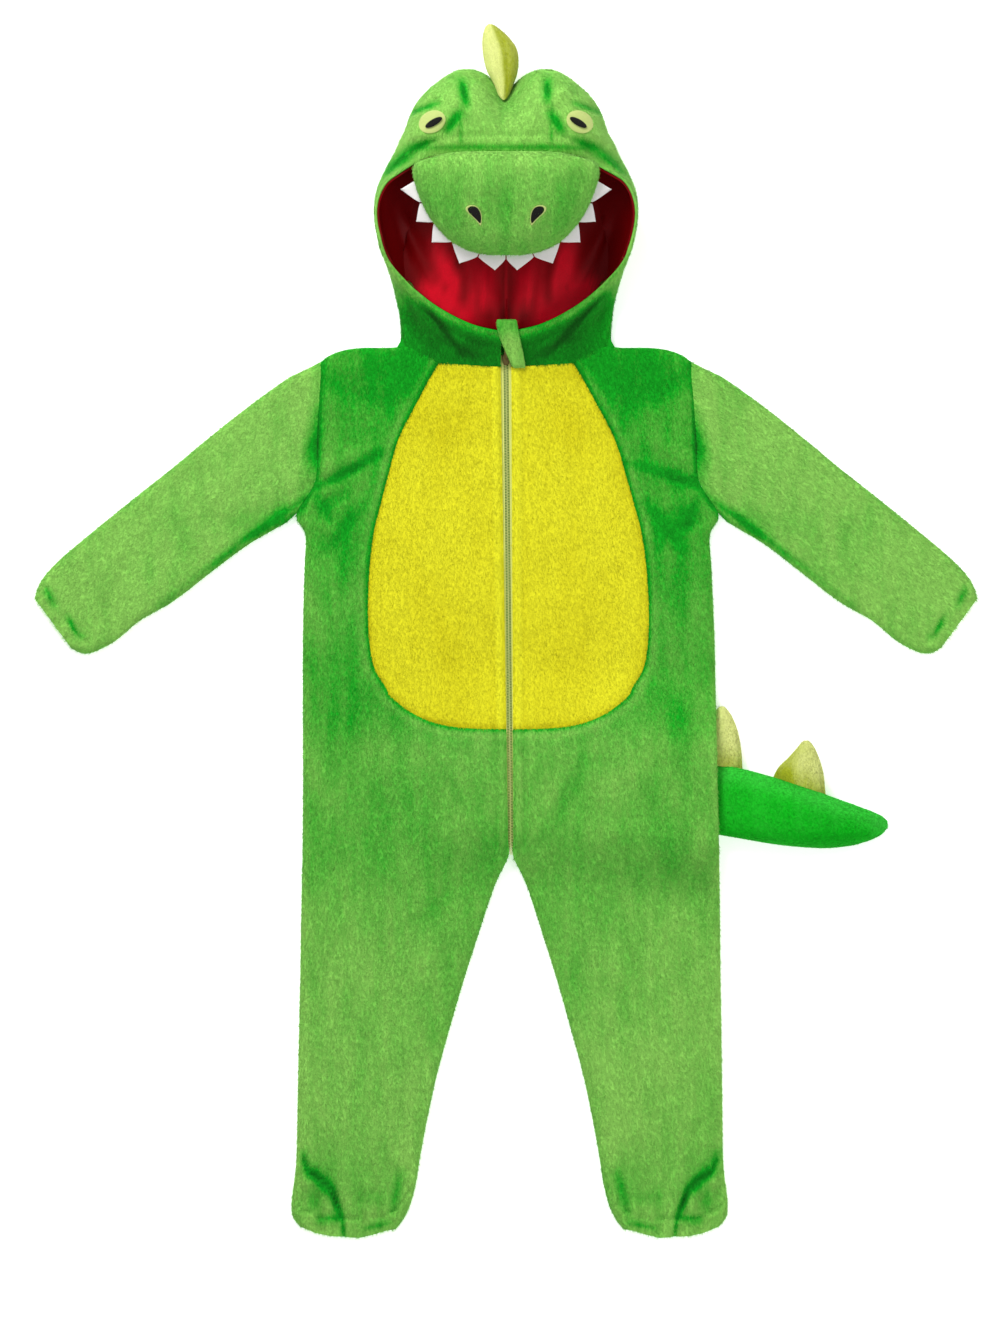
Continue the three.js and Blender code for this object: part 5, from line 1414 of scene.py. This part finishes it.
        # Painted shade in the hood's crease lines, and painted light and shade from its relief.
        for side in Side:
            light -= painted_shade_and_highlight_lines(HOOD_CREASE_SHADE, side, away, y) * (x * side.value >= 0) * (self.normals[..., 2] > 0)
        light += painted_relief_light_and_shade(self.rise)
        rim = bell(self.along - 3.0, 4.5)
        light = lerp(light, 0.38 - 0.9 * smooth((372 - y) / 50), rim * smooth((462 - y) / 12) * 0.9)
        floor = smooth((10 - z) / 8)
        for name, first, last in self._pieces():
            face = trimmed(trimmed(outer[first:last + 1], row=0, gap=JOIN), row=last - first, gap=JOIN)
            reverse = trimmed(trimmed(inner[first:last + 1], row=0, gap=JOIN), row=last - first, gap=JOIN)
            part = light[first:last + 1]
            piece = wall(f"hood_{name}", face, reverse, {"nap": part}, sharp=60)
            dress(piece, "green", [f"hood_{name}"], Cloth.SHEET)
            normals = self.normals[first:last + 1]
            cells = (floor[first:last, :-1] < 0.5) & (normals[:-1, :-1, 2] > -0.3)
            self.pile.grow(f"pile_hood_{name}", face, normals, part, toward(0, -0.75, -0.3), 92,
                           "green_fibre", "plush_green", cells)
        self._line()

    def _line(self) -> None:
        """Makes the satin lining, with loose folds on the inside of the hood's back, its colour painted light
        low in the middle and on the folds, and painted dark as shade on the upper sides.
        """
        base = self.layer(PLUSH + SEAM, -0.5)
        x, y, z = np.moveaxis(base, -1, 0)
        ease = smooth((self.along - 6) / 24)
        loose = np.zeros(x.shape)
        for side in Side:
            loose += folds(LINING_FOLDS, side, np.abs(x), y) * (x * side.value > 0)
        loose += 0.8 * wobble(x, y, 12.0, 3.0)
        loose = np.maximum(loose + 1.2, 0) * ease * smooth((60 - z) / 30)
        section = np.minimum(np.arange(len(base)), np.arange(len(base))[::-1])
        behind = smooth((self.half_rows[section] - 6) / 2)
        ends = lerp(0.876, 0.987, behind) * (self.samples - 1)
        columns = np.linspace(0, 1, self.samples)[None] * ends[:, None]

        def cut(grid: Array) -> Array:
            """A grid's values at the lining's own columns, by straight lines between its samples."""
            i = np.clip(columns.astype(int), 0, self.samples - 2)
            f, rows = (columns - i)[..., None], np.arange(len(grid))[:, None]
            return lerp(grid[rows, i], grid[rows, i + 1], f)

        near, out = cut(base - self.normals * loose[..., None]), cut(self.normals)
        x, y, z = np.moveaxis(near, -1, 0)
        # Painted light: bright low in the middle where light reaches in, dark on the upper sides as shade
        # under the hood's walls, and lighter on raised folds.
        light = 0.52 * smooth((372 - y) / 46) * smooth((104 - np.abs(x)) / 44) * smooth((30 - z) / 14)
        light *= 1 - 0.75 * smooth((np.abs(x) - 70 + (y - 330)) / 24) + 0.10 * wobble(x, y, 9.0, 1.0)
        light += 0.05 * (cut(loose[..., None])[..., 0] - 3.0) * smooth((light - 0.2) / 0.3)
        for side in Side:
            painted_highlight_and_shade = painted_shade_and_highlight_lines(LINING_HIGHLIGHTS, side, np.abs(x), y) - painted_shade_and_highlight_lines(LINING_SHADE, side, np.abs(x), y)
            light += painted_highlight_and_shade * (x * side.value > 0) * smooth((34 - z) / 12)
        far = near - out * SATIN
        for name, first, end in self._pieces():
            part = slice(first, end + 1)
            piece = wall(f"lining_{name}", near[part], far[part], {"nap": light[part]}, sharp=60)
            dress(piece, "satin", [f"lining_{name}"], Cloth.SHEET)


# ---- jaw, teeth and face ----------------------------------------------------------------------
JAW = Table("y half bow low crown", (
    (454.2, 74, 5.8, 88.6, 12), (449, 84, 3.6, 88.4, 20), (439, 88.4, 2.0, 87.5, 25),
    (424, 86, 0.8, 85.5, 27), (408, 80.6, 0, 83, 27.5), (393, 73, 0, 80.5, 27), (379, 62, 0, 78.2, 25),
    (368, 50, 0, 76.4, 21), (360, 33, 0, 75, 15), (356.4, 15, 0, 74.5, 9)))
TEETH = Table("tip_x tip_y high_x high_y low_x low_y", (
    (99.8, 418.5, 81.0, 429.0, 82.0, 406.4), (85.0, 388.1, 81.6, 405.0, 69.4, 387.6),
    (70.3, 368.6, 68.4, 386.2, 51.8, 368.8), (44.2, 348.6, 50.8, 367.8, 27.2, 354.9),
    (10.6, 342.2, 26.2, 354.5, 0.6, 352.6)))
JAW_FOLDS = Table("side from_x from_y to_x to_y width height", (
    (0, 0, 452, 0, 362, 9, -2.5), (-1, 62, 446, 70, 418, 8, -1.6), (1, 60, 446, 72, 416, 8, -1.6),
    (-1, 24, 436, 22, 410, 12, 1.4), (1, 24, 436, 24, 408, 12, 1.4), (-1, 42, 384, 30, 366, 6, -1.2),
    (1, 42, 384, 32, 366, 6, -1.2), (-1, 16, 380, 12, 360, 5, 1.4), (1, 16, 380, 12, 360, 5, 1.4)))


@dataclass
class Jaw:
    """The padded upper jaw with its red underside, felt teeth, nostrils."""

    pile: Pile
    edge: float = 5.0
    centre_y: float = 412.0
    root: float = 6.0  # how far a tooth reaches under the jaw
    droop: float = 5.0
    palate_share: float = 0.84

    def surface(self, upper: bool, share: float = 1.0, rows: int = 46, columns: int = 84) -> Array:
        """The jaw's upper or lower face.

        The dome over a row is edge + crown (1 - |s|^2.6)^0.5 for s from -1 to 1 across it, and the row
        bows down by 1.3 bow |s|^5 at its ends.
        """
        t = np.linspace(0, len(JAW.rows) - 1, rows)
        y0, half, bow, low, crown = spline(JAW.array(), t).T[:, :, None]
        s = np.sin(np.linspace(-np.pi / 2, np.pi / 2, columns))[None]
        x, y = s * half, y0 - 1.3 * bow * np.abs(s) ** 5
        z = np.broadcast_to(low, x.shape).copy()
        if upper:
            z += self.edge + crown * np.sqrt(np.maximum(1 - np.abs(s) ** 2.6, 0)) - PILE
            for side in Side:
                fold = folds(JAW_FOLDS, side, np.abs(x), y) * (x * side.value >= 0)
                z += fold * smooth((1 - np.abs(s)) * 6)
            z += 0.5 * wobble(x, y, 14.0, 0.9)
        return np.stack([x * share, self.centre_y + (y - self.centre_y) * share, z], -1)

    def underside(self, y: Array) -> Array:
        """Height of the jaw's lower face at a height y in plan."""
        rows = JAW.array()[::-1]
        return np.interp(y, rows[:, 0], rows[:, 3])

    def height_on(self, x: Array, y: Array) -> Array:
        """Height of the padded upper face over points in plan."""
        grid = self.surface(True).reshape(-1, 3)
        d2 = (np.asarray(x)[..., None] - grid[:, 0]) ** 2 + (np.asarray(y)[..., None] - grid[:, 1]) ** 2
        near = np.argpartition(d2, 4, axis=-1)[..., :4]
        weight = 1 / (np.take_along_axis(d2, near, -1) + 0.4)
        return (weight * grid[near, 2]).sum(-1) / weight.sum(-1)

    def _tooth(self, row: dict[str, float], side: Side, name: str) -> None:
        """One felt tooth: a flat triangle with a soft tip, its root under the jaw."""
        high, low = np.array([row["high_x"], row["high_y"]]), np.array([row["low_x"], row["low_y"]])
        tip = np.array([row["tip_x"], row["tip_y"]])
        centre = np.array([0.0, self.centre_y])
        v = np.concatenate([[-0.30], np.linspace(0, 1, 15)])[:, None, None]
        u = np.linspace(-1, 1, 11)[None, :, None]
        base = lerp(low, high, (u + 1) / 2)
        rooted = base + unit(centre - base) * self.root
        narrow = np.clip(1 - np.clip(v, 0, 1) ** 1.15, 0.035, 1)
        middle = lerp((high + low) / 2, tip, np.clip(v, 0, 1))
        plan = np.where(v < 0, rooted, middle + (base - (high + low) / 2) * narrow)
        level = self.underside(np.clip(plan[..., 1], 356.5, 454)) - SEAM
        level = np.where(v[..., 0] < 0.25, level, np.minimum(level, level[1:2] + 0 * level))
        z = level - self.droop * np.clip(v[..., 0], 0, 1) ** 1.4
        thick = FELT * (0.35 + 0.65 * np.sqrt(np.clip(1 - np.abs(u[..., 0]) ** 4, 0, 1)))
        x = plan[..., 0] * side.value
        top = np.stack([x, plan[..., 1], z - (FELT - thick) / 2], -1)
        bottom = np.stack([x, plan[..., 1], z - (FELT + thick) / 2], -1)
        dress(wall(name, top, bottom, sharp=50), "white", [name])

    def _nostril(self, side: Side) -> None:
        """A black comma of felt with a pale stitched edge."""
        turn = np.linspace(0, 2 * np.pi, 37)[:-1]
        c, s = math.cos(0.95), math.sin(0.95)

        def comma(radius: Array) -> tuple[Array, Array, Array]:
            """Points on the jaw at shares of the comma's reach."""
            u = 9.0 * radius * np.cos(turn)
            v = 3.9 * radius * np.sin(turn) * (1 + 0.5 * np.cos(turn)) - 0.024 * u**2
            x, y = side.value * (28 + u * c - v * s), 394.6 + u * s + v * c
            return x, y, self.height_on(x, y) + 0.5

        radius = np.array([0.05, 0.4, 0.75, 0.92, 1.0])[:, None]
        x, y, z = comma(radius)
        high = z + 0.4 + np.sqrt(1.02 - radius**2)
        name = f"nostril_{side.label}"
        felt = wall(name, np.stack([x, y, high], -1), np.stack([x, y, z], -1), ring=True)
        dress(felt, "black", [name])
        radius = np.array([1.03, 1.09, 1.18, 1.24])[:, None]
        x, y, z = comma(radius)
        high = z + np.array([0.7, 1.2, 1.2, 0.7])[:, None]
        edge = wall(f"edge_of_{name}", np.stack([x, y, high], -1), np.stack([x, y, z], -1), ring=True)
        dress(edge, "cream")

    def build(self) -> None:
        """Makes the jaw, its underside, the teeth and the nostrils."""
        top, bottom = self.surface(True), self.surface(False)
        x, y = np.moveaxis(top, -1, 0)[:2]
        # Painted light on the jaw's top towards its root, painted shade along the centre furrow and on its
        # sides, a few lighter and darker patches near the tip, and a paler ring round each nostril's
        # stitching.
        light = 0.10 + 0.08 * wobble(x, y, 18.0, 2.0) + 0.38 * smooth((y - 420) / 30)
        light -= (0.55 * bell(x, 7) * smooth((430 - y) / 30)
                  + 0.25 * bell(np.abs(x) - 16, 6) * smooth((400 - y) / 20))
        light += 0.35 * bell(np.hypot((np.abs(x) - 22) / 10, (y - 376) / 12), 1)
        light += 0.30 * bell(np.hypot(x / 16, (y - 374) / 12), 1)
        light -= 0.50 * bell(np.hypot((np.abs(x) - 56) / 15, (y - 408) / 24), 1)
        away_x, away_y = np.abs(x) - 28, y - 394.6
        along, across = 0.58 * away_x + 0.81 * away_y, 0.58 * away_y - 0.81 * away_x
        light += 0.55 * bell(np.hypot(along / 11, across / 6) - 1.0, 0.28)
        jaw = wall("snout", top, bottom, {"nap": light}, sharp=80)
        dress(jaw, "green", ["snout"], Cloth.PADDED)
        self.pile.grow("pile_snout", top, up_normals(top), light, toward(0, -1), 92, "green_fibre",
                       "plush_green")
        # With no nap attribute the palate takes the satin's painted shadow colour, as shade under the jaw.
        flat = self.surface(False, self.palate_share)
        flat[..., 2] = self.underside(flat[..., 1])
        roof = wall("palate", flat - [0, 0, SEAM], flat - [0, 0, SEAM + FELT], sharp=50)
        dress(roof, "satin", ["palate"], Cloth.SHEET)
        for side in Side:
            for number, row in enumerate(TEETH.each(), 1):
                self._tooth(row, side, f"tooth_{side.label}_{number}")
            self._nostril(side)


@dataclass
class Eyes:
    """Cream felt ovals with a dark slit, sewn on the hood's mounds."""

    hood: Hood
    x: float = 70.0
    y: float = 482.4
    half_x: float = 13.2
    half_y: float = 10.4

    def _oval(self, side: Side, place: tuple[float, float], size: tuple[float, float], turn: float,
              base: float, crown: float) -> tuple[Array, Array]:
        """A crowned oval laid on the hood: rings of points around its centre."""
        angle = np.linspace(0, 2 * np.pi, 49)[:-1]
        radius = np.array([0.03, 0.3, 0.55, 0.75, 0.88, 0.96, 1.0])[:, None]
        u, v = size[0] * radius * np.cos(angle), size[1] * radius * np.sin(angle)
        c, s = math.cos(turn), math.sin(turn)
        x, y = side.value * (place[0] + u * c - v * s), place[1] + u * s + v * c
        z = self.hood.height_on(x, y) + base
        top = z + 0.3 + crown * np.sqrt(1.03 - radius**2)
        return np.stack([x, y, top], -1), np.stack([x, y, z - 1.4], -1)

    def build(self) -> None:
        """Makes both eyes."""
        for side in Side:
            face, back = self._oval(side, (self.x, self.y), (self.half_x, self.half_y), -0.45, 1.2, 1.5)
            name = f"eye_{side.label}"
            dress(wall(name, face, back, ring=True), "cream", [name])
            face, back = self._oval(side, (self.x - 1.5, self.y - 0.6), (9.0, 3.1), -0.52, 3.9, 0.9)
            name = f"pupil_{side.label}"
            dress(wall(name, face, back, ring=True), "black", [name])


# ---- tail and spikes --------------------------------------------------------------------------
HEAD_SPIKE = Table("y x half_x z half_z", (
    (503.5, -2.2, 1.0, 67, 1.2), (506, -2.2, 3.6, 64, 4.6), (510.5, -2.2, 6.2, 57, 11.5),
    (518, -2.2, 9.0, 50, 18), (525, -2.6, 12.2, 47, 20), (532, -3.6, 14.8, 46, 20.5),
    (543, -4.6, 16.5, 46, 20), (554, -6.5, 16, 46.5, 17), (565, -10.5, 11.5, 47, 12),
    (573, -14, 5.5, 47.5, 6), (575.7, -15, 1.5, 47.5, 1.5)))
TAIL_SPIKES = (
    Table("y x half_x z half_z", (
        (-128, 201.5, 22.5, 9.5, 7.5), (-112, 203.5, 19.5, 9.5, 7.5), (-96, 205, 15, 9, 6.5),
        (-82, 205.5, 9.5, 8.5, 5), (-74, 205.2, 4.5, 8, 3.5), (-71.6, 205, 1.5, 8, 1.5))),
    Table("y x half_x z half_z", (
        (-148, 278.5, 24.5, 19, 11), (-132, 280.6, 20.4, 18.5, 11), (-120, 283, 13.9, 18, 9.5),
        (-111, 284.8, 8.2, 17.5, 7), (-106, 285, 4.4, 17, 4.5), (-104, 285, 1.6, 17, 2))))


@dataclass
class TailAndSpikes:
    """The stuffed tail in two halves, and the three stuffed spikes."""

    pile: Pile
    columns: int = 40

    def _half(self, upper: bool, outer: bool) -> Array:
        """One face of a half: the dome over a section is (1 - |s|^2.4)^0.45 for s across it."""
        x = np.concatenate([np.linspace(2, 330, 74), np.linspace(330, 362.6, 16)[1:]])
        rows = np.interp(x, TAIL.col("x"), np.arange(len(TAIL.rows)))
        _, high, low, thick = spline(TAIL.array(), rows).T[:, :, None]
        s = np.sin(np.linspace(-np.pi / 2, np.pi / 2, self.columns))[None]
        y = (high + low) / 2 + s * (high - low) / 2
        middle = thick / 2
        dome = np.maximum(1 - np.abs(s) ** 2.4, 0) ** 0.45
        reach = np.maximum(middle * dome - (PILE * 0.6 if upper else 0), 1) if outer else SEAM / 2
        if outer:
            reach = reach + 0.5 * wobble(x[:, None] + 0 * y, y, 15.0, 1.2) * dome
        z = middle + reach if upper else np.maximum(middle - reach * (1.06 if outer else 1), 0)
        return np.stack([np.broadcast_to(x[:, None], y.shape), y, np.broadcast_to(z, y.shape)], -1)

    def _spike(self, name: str, table: Table, flip: bool) -> None:
        """A stuffed spike: oval rings along a spline, with a seam along its two edges.

        A tail spike's lowest rings follow the tail's upper edge and straighten over 34 mm.
        """
        rings = np.linspace(0, len(table.rows) - 1, 30)
        y, x0, half_x, z0, half_z = spline(table.array(), rings).T[:, :, None]
        turn = np.linspace(0, 2 * np.pi, 45)[None, :-1]
        seam = np.abs(np.sin(turn)) if flip else np.abs(np.cos(turn))
        pinch = 1 + 0.05 * bell(1 - seam, 0.03) - 0.07 * bell(1 - seam - 0.06, 0.05)
        half_x, half_z = np.maximum(half_x, 0.6), np.maximum(half_z, 0.6)
        x = x0 + half_x * np.cos(turn) * pinch
        z = np.maximum(z0 + half_z * np.sin(turn) * pinch, 0.2)
        y = np.broadcast_to(y, x.shape)
        if not flip:
            edge_x, edge_y = TAIL.col("x"), TAIL.col("high")
            slant = np.interp(x, edge_x, edge_y) - np.interp(x0, edge_x, edge_y)
            y = y + slant * smooth(1 - (y - y[:1]) / 34)
        ring = np.stack([x, y, z], -1)
        core = lerp(ring.mean(axis=1, keepdims=True), ring, 0.04)
        # The head spike is painted darker on its right side, as shade; a tail spike is made darker on its
        # left side and towards its root.
        light = 0.5 + 0.15 * wobble(x, z, 9.0, 1.0)
        if flip:
            light -= 1.5 * smooth((x - x0 + 2) / 5)
        else:
            light -= 0.9 * smooth((x0 - x) / 14) + 1.2 * smooth(1 - (y - y[:1]) / 26)
        spike = wall(name, ring, core, {"nap": light}, ring=True, sharp=70)
        dress(spike, "pale", [name], Cloth.PADDED)
        closed = np.concatenate([ring, ring[:, :1]], axis=1)
        normals = unit((ring - core) * [1, 0, 1])
        normals = np.concatenate([normals, normals[:, :1]], axis=1)
        tone_and_shade_grid = np.concatenate([light, light[:, :1]], axis=1)
        self.pile.grow(f"pile_{name}", closed, normals, tone_and_shade_grid, toward(0, 1), 90, "pale_fibre",
                       "plush_pale", scale=0.6)

    def build(self) -> None:
        """Makes the tail, the spikes and their pile."""
        for name, upper in (("tail_upper", True), ("tail_lower", False)):
            face, seam = self._half(upper, True), self._half(upper, False)
            x, y = face[..., 0], face[..., 1]
            high = np.interp(x, TAIL.col("x"), TAIL.col("high"))
            # Lighter in a band just inside the upper edge, as painted light on the tail's top, and darker
            # towards the lower edge, as painted shade.
            light = (-0.95 + 0.12 * wobble(x, y, 26.0, 2.4) + 1.1 * bell(high - y - 6, 10)
                     - 0.3 * smooth((-186 - y) / 12))
            part = wall(name, face, seam, {"nap": light}, sharp=70)
            dress(part, "tail_green", [name], Cloth.PADDED)
            if upper:
                shown = (x > 190)[:-1, :-1]
                self.pile.grow("pile_tail", face, up_normals(face), light, toward(1, -0.25), 90,
                               "tail_fibre", "plush_green", shown, scale=0.7)
        self._spike("head_spike", HEAD_SPIKE, True)
        for number, table in enumerate(TAIL_SPIKES, 1):
            self._spike(f"tail_spike_{number}", table, False)


# ---- zip and chin tab -------------------------------------------------------------------------
@dataclass
class Zip:
    """The centre-front zip: two woven tapes, a coil, the slider and its pull."""

    top_y: float = 262.0
    bottom_y: float = -212.0
    tape_inner: float = 2.3
    tape_outer: float = 12.0
    tape_high: float = 7.0
    tape_thick: float = 0.9
    pitch: float = 1.5  # spacing of the coil's turns
    coil_high: float = 8.5

    def _tape(self, side: Side) -> None:
        """A tape with a slightly raised edge, following the body over the tail."""
        y = np.linspace(self.top_y, self.bottom_y, 150)[:, None]
        across = np.linspace(self.tape_inner, self.tape_outer, 9)[None]
        x = axis_x(y) + side.value * across
        z = self.tape_high + 0.4 * bell(across - self.tape_inner, 0.9) + lift(x, y) + 0 * x
        face = np.stack([x, y + 0 * x, z], -1)
        name = f"zip_tape_{side.label}"
        obj = wall(name, face, face - [0, 0, self.tape_thick])
        dress(obj, "tape", [name], Cloth.SHEET)

    def _coil(self) -> None:
        """The closed coil as one mesh: small rounded bars, by turns from either side."""
        y = np.arange(self.bottom_y, self.top_y, self.pitch / 2)
        side = np.where(np.arange(len(y)) % 2 == 0, 1.0, -1.0)
        box = np.array([[-1, -1, -1], [1, -1, -1], [1, 1, -1], [-1, 1, -1],
                        [-0.8, -0.5, 1], [0.8, -0.5, 1], [0.8, 0.5, 1], [-0.8, 0.5, 1]], float)
        size = np.array([1.35, self.pitch * 0.22, 0.95])
        centre_x = axis_x(y) + side * 0.85
        centre = np.stack([centre_x, y, self.coil_high - 1 + lift(axis_x(y), y)], -1)
        points = (centre[:, None] + box * size).reshape(-1, 3)
        quads = np.array([[0, 3, 2, 1], [4, 5, 6, 7], [0, 1, 5, 4], [1, 2, 6, 5], [2, 3, 7, 6], [3, 0, 4, 7]])
        faces = (quads[None] + 8 * np.arange(len(y))[:, None, None]).reshape(-1, 4)
        dress(make_object("zip_chain", points, faces, sharp=35), "coil", ["zip_chain"])

    def _plate(self, name: str, outline: Array, low: float, high: float, slope: float = 0.0,
               hinge: float = 0.0) -> None:
        """A small rounded metal plate: the outline shrinks a little towards its top and bottom."""
        levels = np.array([0.0, 0.0, 0.15, 0.5, 0.85, 1.0, 1.0])
        shrink = np.array([0.02, 0.86, 0.97, 1.0, 0.97, 0.86, 0.02])
        centre = outline.mean(axis=0)
        plan = centre + (outline - centre)[None] * shrink[:, None, None]
        z = np.broadcast_to(lerp(low, high, levels)[:, None], plan.shape[:2]) + slope * (plan[..., 1] - hinge)
        ring = np.concatenate([plan, z[..., None]], -1)
        rows, columns = ring.shape[:2]
        number = np.arange(rows * columns).reshape(rows, columns)
        after = np.roll(number, -1, axis=1)
        faces = np.stack([number[:-1], after[:-1], after[1:], number[1:]], -1).reshape(-1, 4)
        points = ring.reshape(-1, 3)
        caps = []
        for edge in (number[0], number[-1]):
            count = len(edge)
            caps += [[edge[k], edge[(k + 1) % count],
                      edge[(count - 2 - k) % count], edge[(count - 1 - k) % count]]
                     for k in range(count // 2 - 1)]
        low_caps, high_caps = np.array(caps[:len(caps) // 2])[:, ::-1], np.array(caps[len(caps) // 2:])
        faces = outward(points, np.concatenate([faces, low_caps, high_caps]))
        dress(make_object(name, points, faces, sharp=35), "metal", [name])

    def build(self) -> None:
        """Makes the tapes, the coil, the slider and the pull."""
        for side in Side:
            self._tape(side)
        self._coil()
        turn = np.linspace(0, 2 * np.pi, 25)[:-1]
        half_width = 3.3 * np.sign(np.cos(turn)) * np.abs(np.cos(turn)) ** 0.6 * (1 + 0.16 * np.sin(turn))
        body = np.stack([half_width, 257.9 + 5.6 * np.sign(np.sin(turn)) * np.abs(np.sin(turn)) ** 0.7], -1)
        self._plate("zip_slider", body, 9.0, 12.5)
        blade = np.stack([1.7 * np.cos(turn), 264.5 + 6.2 * np.sin(turn)], -1)
        self._plate("zip_pull", blade, 13.2, 14.3, 0.43, 258.3)


@dataclass
class ChinTab:
    """The plush tab that holds the hood closed over the top of the zip."""

    pile: Pile

    def build(self) -> None:
        """Makes the tab: a padded strip whose section is a flat oval."""
        table = Table("x y half z", ((0.5, 296, 9.6, 27.4), (1.2, 289, 10, 26.8), (3.4, 279, 9.6, 24.4),
                                     (8.2, 264, 8.2, 18.0), (12.6, 250, 6.2, 12.8)))
        x0, y, half, z0 = spline(table.array(), np.linspace(0, 4, 30)).T[:, :, None]
        s = np.sin(np.linspace(-np.pi / 2, np.pi / 2, 22))[None]
        end = rounded(np.minimum(np.linspace(0, 49, 30), np.linspace(49, 0, 30)) + 0.3, 4.0)[:, None]
        x = x0 + s * half * lerp(0.8, 1, end)
        crown = 0.6 + 3.0 * np.sqrt(np.maximum(1 - np.abs(s) ** 3, 0)) * end
        top = np.stack([x, y + 0 * x, z0 + crown + 0 * x], -1)
        bottom = np.stack([x, y + 0 * x, z0 + 0 * x], -1)
        # Darker at the upper end, as painted shade under the hood's chin, and lighter along the crown, as a
        # painted highlight.
        light = (-0.55 + 0.95 * smooth((288 - y) / 16) + 0.3 * bell(s, 0.5)
                 + 0.1 * wobble(x, y + 0 * x, 8.0, 1.0))
        tab = wall("chin_tab", top, bottom, {"nap": light}, sharp=70)
        dress(tab, "green", ["chin_tab"], Cloth.PADDED)
        self.pile.grow("pile_chin_tab", top, up_normals(top), light, toward(0.2, -1), 90,
                       "green_fibre", "plush_green", scale=0.7)


# ---- studio -----------------------------------------------------------------------------------
@dataclass
class Studio:
    """Pale floor, soft lights and the camera straight above."""

    frame_height: float = 1332 * 0.95  # millimetres of floor that the picture shows from top to bottom
    centre: tuple[float, float] = (-5.7, -33.2)
    lens: float = 800.0
    world: float = 0.56
    key: float = 88.0
    fill: float = 30.0

    def _light(self, name: str, place: Sequence[float], size: float, power: float) -> None:
        """A square soft light that looks at the garment's middle."""
        data = bpy.data.lights.new(name, "AREA")
        data.energy, data.size = power, size
        obj = bpy.data.objects.new(name, data)
        obj.location = place
        direction = -np.array(place, float)
        obj.rotation_euler = Vector(direction).to_track_quat("-Z", "Y").to_euler()
        bpy.context.scene.collection.objects.link(obj)

    def build(self) -> None:
        """Makes the floor, the lights, the world and the camera."""
        half = 30000.0
        corners = np.array([[-half, -half, -0.2], [half, -half, -0.2],
                            [half, half, -0.2], [-half, half, -0.2]])
        floor = make_object("floor", corners, np.array([[0, 1, 2, 3]]), sharp=180)
        floor.data.materials.append(MATERIALS["floor"])
        self._light("key", (-1.0, 2.3, 2.1), 1.4, self.key)
        self._light("fill", (1.6, -1.6, 2.4), 2.2, self.fill)
        scene = bpy.context.scene
        world = bpy.data.worlds.new("studio")
        world.use_nodes = True
        world.node_tree.nodes["Background"].inputs[0].default_value = (1, 1, 1, 1)
        world.node_tree.nodes["Background"].inputs[1].default_value = self.world
        scene.world = world
        scene.view_settings.view_transform = "Standard"
        data = bpy.data.cameras.new("camera")
        data.lens, data.sensor_width = self.lens, 36.0
        data.clip_end = 100.0
        camera = bpy.data.objects.new("camera", data)
        distance = self.frame_height * MM / data.sensor_width * data.lens
        camera.location = (self.centre[0] * MM, self.centre[1] * MM, distance + 0.01)
        scene.collection.objects.link(camera)
        scene.camera = camera


def main() -> None:
    logging.basicConfig(level=logging.INFO, format="%(name)s: %(message)s")
    effects = Effects()
    for key, finish in FINISHES.items():
        MATERIALS[key] = finish.build(effects)
    Studio().build()
    pile = Pile()
    body = Body(pile)
    body.build()
    Sleeves(pile, body.armhole()).build()
    hood = Hood(pile)
    hood.build()
    Jaw(pile).build()
    Eyes(hood).build()
    TailAndSpikes(pile).build()
    Zip().build()
    ChinTab(pile).build()


if __name__ == "__main__":
    main()
